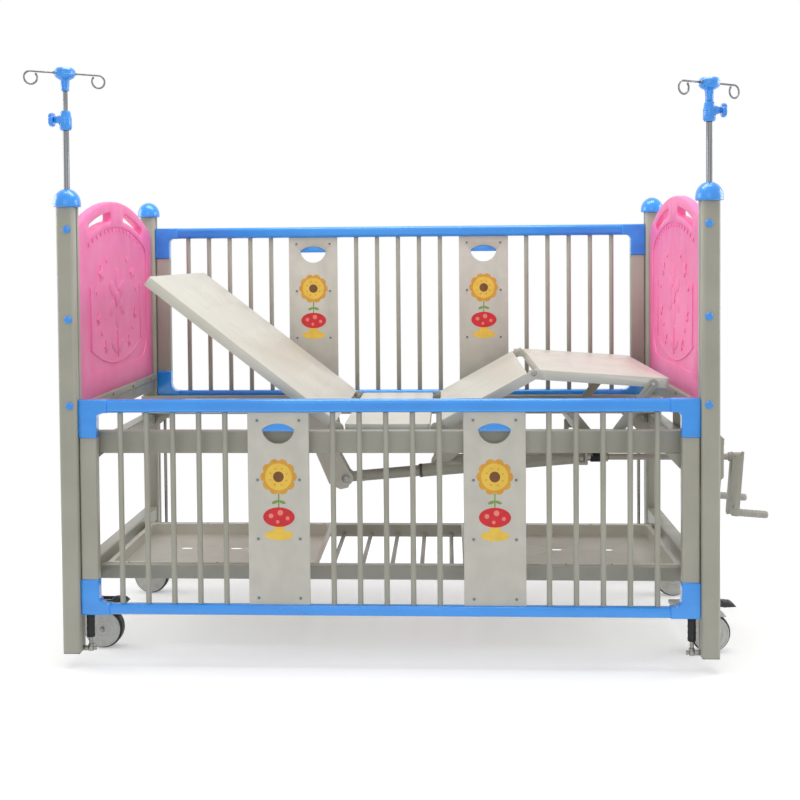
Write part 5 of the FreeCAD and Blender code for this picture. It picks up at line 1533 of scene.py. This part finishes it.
# ---- studio ----------------------------------------------------------------------------
@dataclass
class Studio:
    """A white floor, a white surround, soft lamps and the camera."""

    eye: Spot = (157.57, -3198.3, 1040.1)
    yaw: float = 0.0479
    pitch: float = 0.0312
    roll: float = -0.0084
    lens: float = 50.785
    shift: Pair = (0.007775, -0.1369)
    surround: float = 0.66
    floor_reach: float = 14.0
    floor_lift: float = 0.30
    fade: Pair = (1.1, 2.2)

    def camera(self, shop: Workshop) -> None:
        """Set the camera at a child's chest height, a little right of the middle.

        Args:
            shop: The workshop.
        """
        ahead = Vector((-math.sin(self.yaw) * math.cos(self.pitch),
                        math.cos(self.yaw) * math.cos(self.pitch), -math.sin(self.pitch)))
        level = Vector((math.cos(self.yaw), math.sin(self.yaw), 0.0))
        above = level.cross(ahead)
        right = level * math.cos(self.roll) + above * math.sin(self.roll)
        up = above * math.cos(self.roll) - level * math.sin(self.roll)
        data = bpy.data.cameras.new("camera")
        data.sensor_fit = "HORIZONTAL"
        data.sensor_width = 36.0
        data.lens = self.lens
        data.shift_x, data.shift_y = self.shift
        view = bpy.data.objects.new("camera", data)
        matrix = Matrix((right, up, -ahead)).transposed().to_4x4()
        matrix.translation = shop.place(self.eye)
        view.matrix_world = matrix
        bpy.context.scene.collection.objects.link(view)
        bpy.context.scene.camera = view

    def seen(self, tree: Tree) -> Socket:
        """Tell the rays that the viewer sees by, straight, mirrored or through glass.

        Args:
            tree: The node tree of the world or of a material.

        Returns:
            One for such a ray, and zero for one that only carries light.
        """
        path = add(tree, "ShaderNodeLightPath")
        ray = path.outputs["Is Camera Ray"]
        for kind in ("Is Glossy Ray", "Is Transmission Ray"):
            either = add(tree, "ShaderNodeMath", {0: ray, 1: path.outputs[kind]},
                         operation="MAXIMUM")
            ray = either.outputs[0]
        return ray

    def world(self) -> None:
        """A surround that is white to look at and softer as a light."""
        world = bpy.data.worlds.new("surround")
        bpy.context.scene.world = world
        world.use_nodes = True
        tree = world.node_tree
        tree.nodes.clear()
        soft, white = [add(tree, "ShaderNodeBackground", {"Color": linear("#FFFFFF"),
                                                          "Strength": strength})
                       for strength in (self.surround, 1.0)]
        both = add(tree, "ShaderNodeMixShader", {0: self.seen(tree), 1: soft.outputs[0],
                                                 2: white.outputs[0]})
        add(tree, "ShaderNodeOutputWorld", {"Surface": both.outputs[0]})

    def floor(self) -> None:
        """A wide white floor that keeps the cot's shadow and fades into the surround."""
        sheet = bmesh.new()
        bmesh.ops.create_grid(sheet, x_segments=8, y_segments=8, size=self.floor_reach)
        mesh = bpy.data.meshes.new("floor")
        sheet.to_mesh(mesh)
        sheet.free()
        material = bpy.data.materials.new("floor, white painted board")
        material.use_nodes = True
        tree = material.node_tree
        tree.nodes.clear()
        place = add(tree, "ShaderNodeTexCoord").outputs["Object"]
        matt = add(tree, "ShaderNodeBsdfDiffuse", {"Color": linear("#EFEFEF")})
        lift, glow = [add(tree, "ShaderNodeEmission", {"Color": linear("#FFFFFF"),
                                                       "Strength": strength})
                      for strength in (self.floor_lift, 1.0)]
        board = add(tree, "ShaderNodeAddShader", {0: matt.outputs[0], 1: lift.outputs[0]})
        reach = add(tree, "ShaderNodeVectorMath", {0: place}, operation="LENGTH")
        fade = add(tree, "ShaderNodeMapRange",
                   {"Value": reach.outputs["Value"], "From Min": self.fade[0],
                    "From Max": self.fade[1]}, interpolation_type="SMOOTHSTEP")
        near = add(tree, "ShaderNodeMixShader", {0: fade.outputs[0], 1: board.outputs[0],
                                                 2: glow.outputs[0]})
        shown = add(tree, "ShaderNodeMixShader", {0: self.seen(tree), 1: matt.outputs[0],
                                                  2: near.outputs[0]})
        add(tree, "ShaderNodeOutputMaterial", {"Surface": shown.outputs[0]})
        mesh.materials.append(material)
        item = bpy.data.objects.new("floor", mesh)
        bpy.context.scene.collection.objects.link(item)

    def lamp(self, name: str, spot: Spot, target: Spot, watts: float, size: Pair) -> None:
        """One soft lamp.

        Args:
            name: Its name.
            spot: Where it hangs, in metres.
            target: What it looks at, in metres.
            watts: Its power.
            size: Its width and depth, in metres.
        """
        data = bpy.data.lights.new(name, "AREA")
        data.shape = "RECTANGLE"
        data.energy = watts
        data.size, data.size_y = size
        item = bpy.data.objects.new(name, data)
        turn = (Vector(target) - Vector(spot)).to_track_quat("-Z", "Y")
        item.matrix_world = Matrix.Translation(Vector(spot)) @ turn.to_matrix().to_4x4()
        bpy.context.scene.collection.objects.link(item)

    def build(self, shop: Workshop) -> None:
        """Set up the floor, the surround, the lamps and the camera.

        Args:
            shop: The workshop.
        """
        self.camera(shop)
        self.world()
        self.floor()
        self.lamp("ceiling softbox", (0.0, -0.2, 3.3), (0.0, 0.0, 0.6), 46.0, (2.6, 1.1))
        self.lamp("right softbox", (3.6, 0.4, 1.6), (-0.4, 0.0, 0.8), 36.0, (2.0, 2.0))
        self.lamp("left softbox", (-3.6, 0.4, 1.6), (0.4, 0.0, 0.8), 36.0, (2.0, 2.0))
        self.lamp("front softbox", (-0.6, -4.4, 2.0), (0.0, 0.0, 0.6), 12.0, (2.6, 2.0))
        bpy.context.scene.view_settings.view_transform = "Standard"


# ---- the whole cot ---------------------------------------------------------------------
def main() -> None:
    """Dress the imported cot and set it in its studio."""
    logging.basicConfig(level=logging.INFO, format="%(name)s: %(message)s")
    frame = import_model()
    shop = Workshop(frame)
    Studio().build(shop)
    Coating().apply(shop)
    kits = [FrameFittings(), EndBoards(), SideRail("near", -1, 682.0),
            SideRail("far", 1, 1132.0), GuideRods(), Deck(),
            Drive("backrest", "backrest", -125.0, -110.0, 202.0),
            Drive("knee", "thigh", 125.0, 110.0, 100.0), CrankHousing()]
    for end, x in (("head", -800.0), ("foot", 800.0)):
        for side, y in (("near", -245.0), ("far", 245.0)):
            kits.append(Castor("castor_%s_%s" % (end, side), x, y))
    kits += [InfusionPole("head", -800.0, 1459.0), InfusionPole("foot", 800.0, 1410.0), Tray()]
    for kit in kits:
        for piece in kit.pieces():
            shop.set_down(piece)


if __name__ == "__main__":
    main()
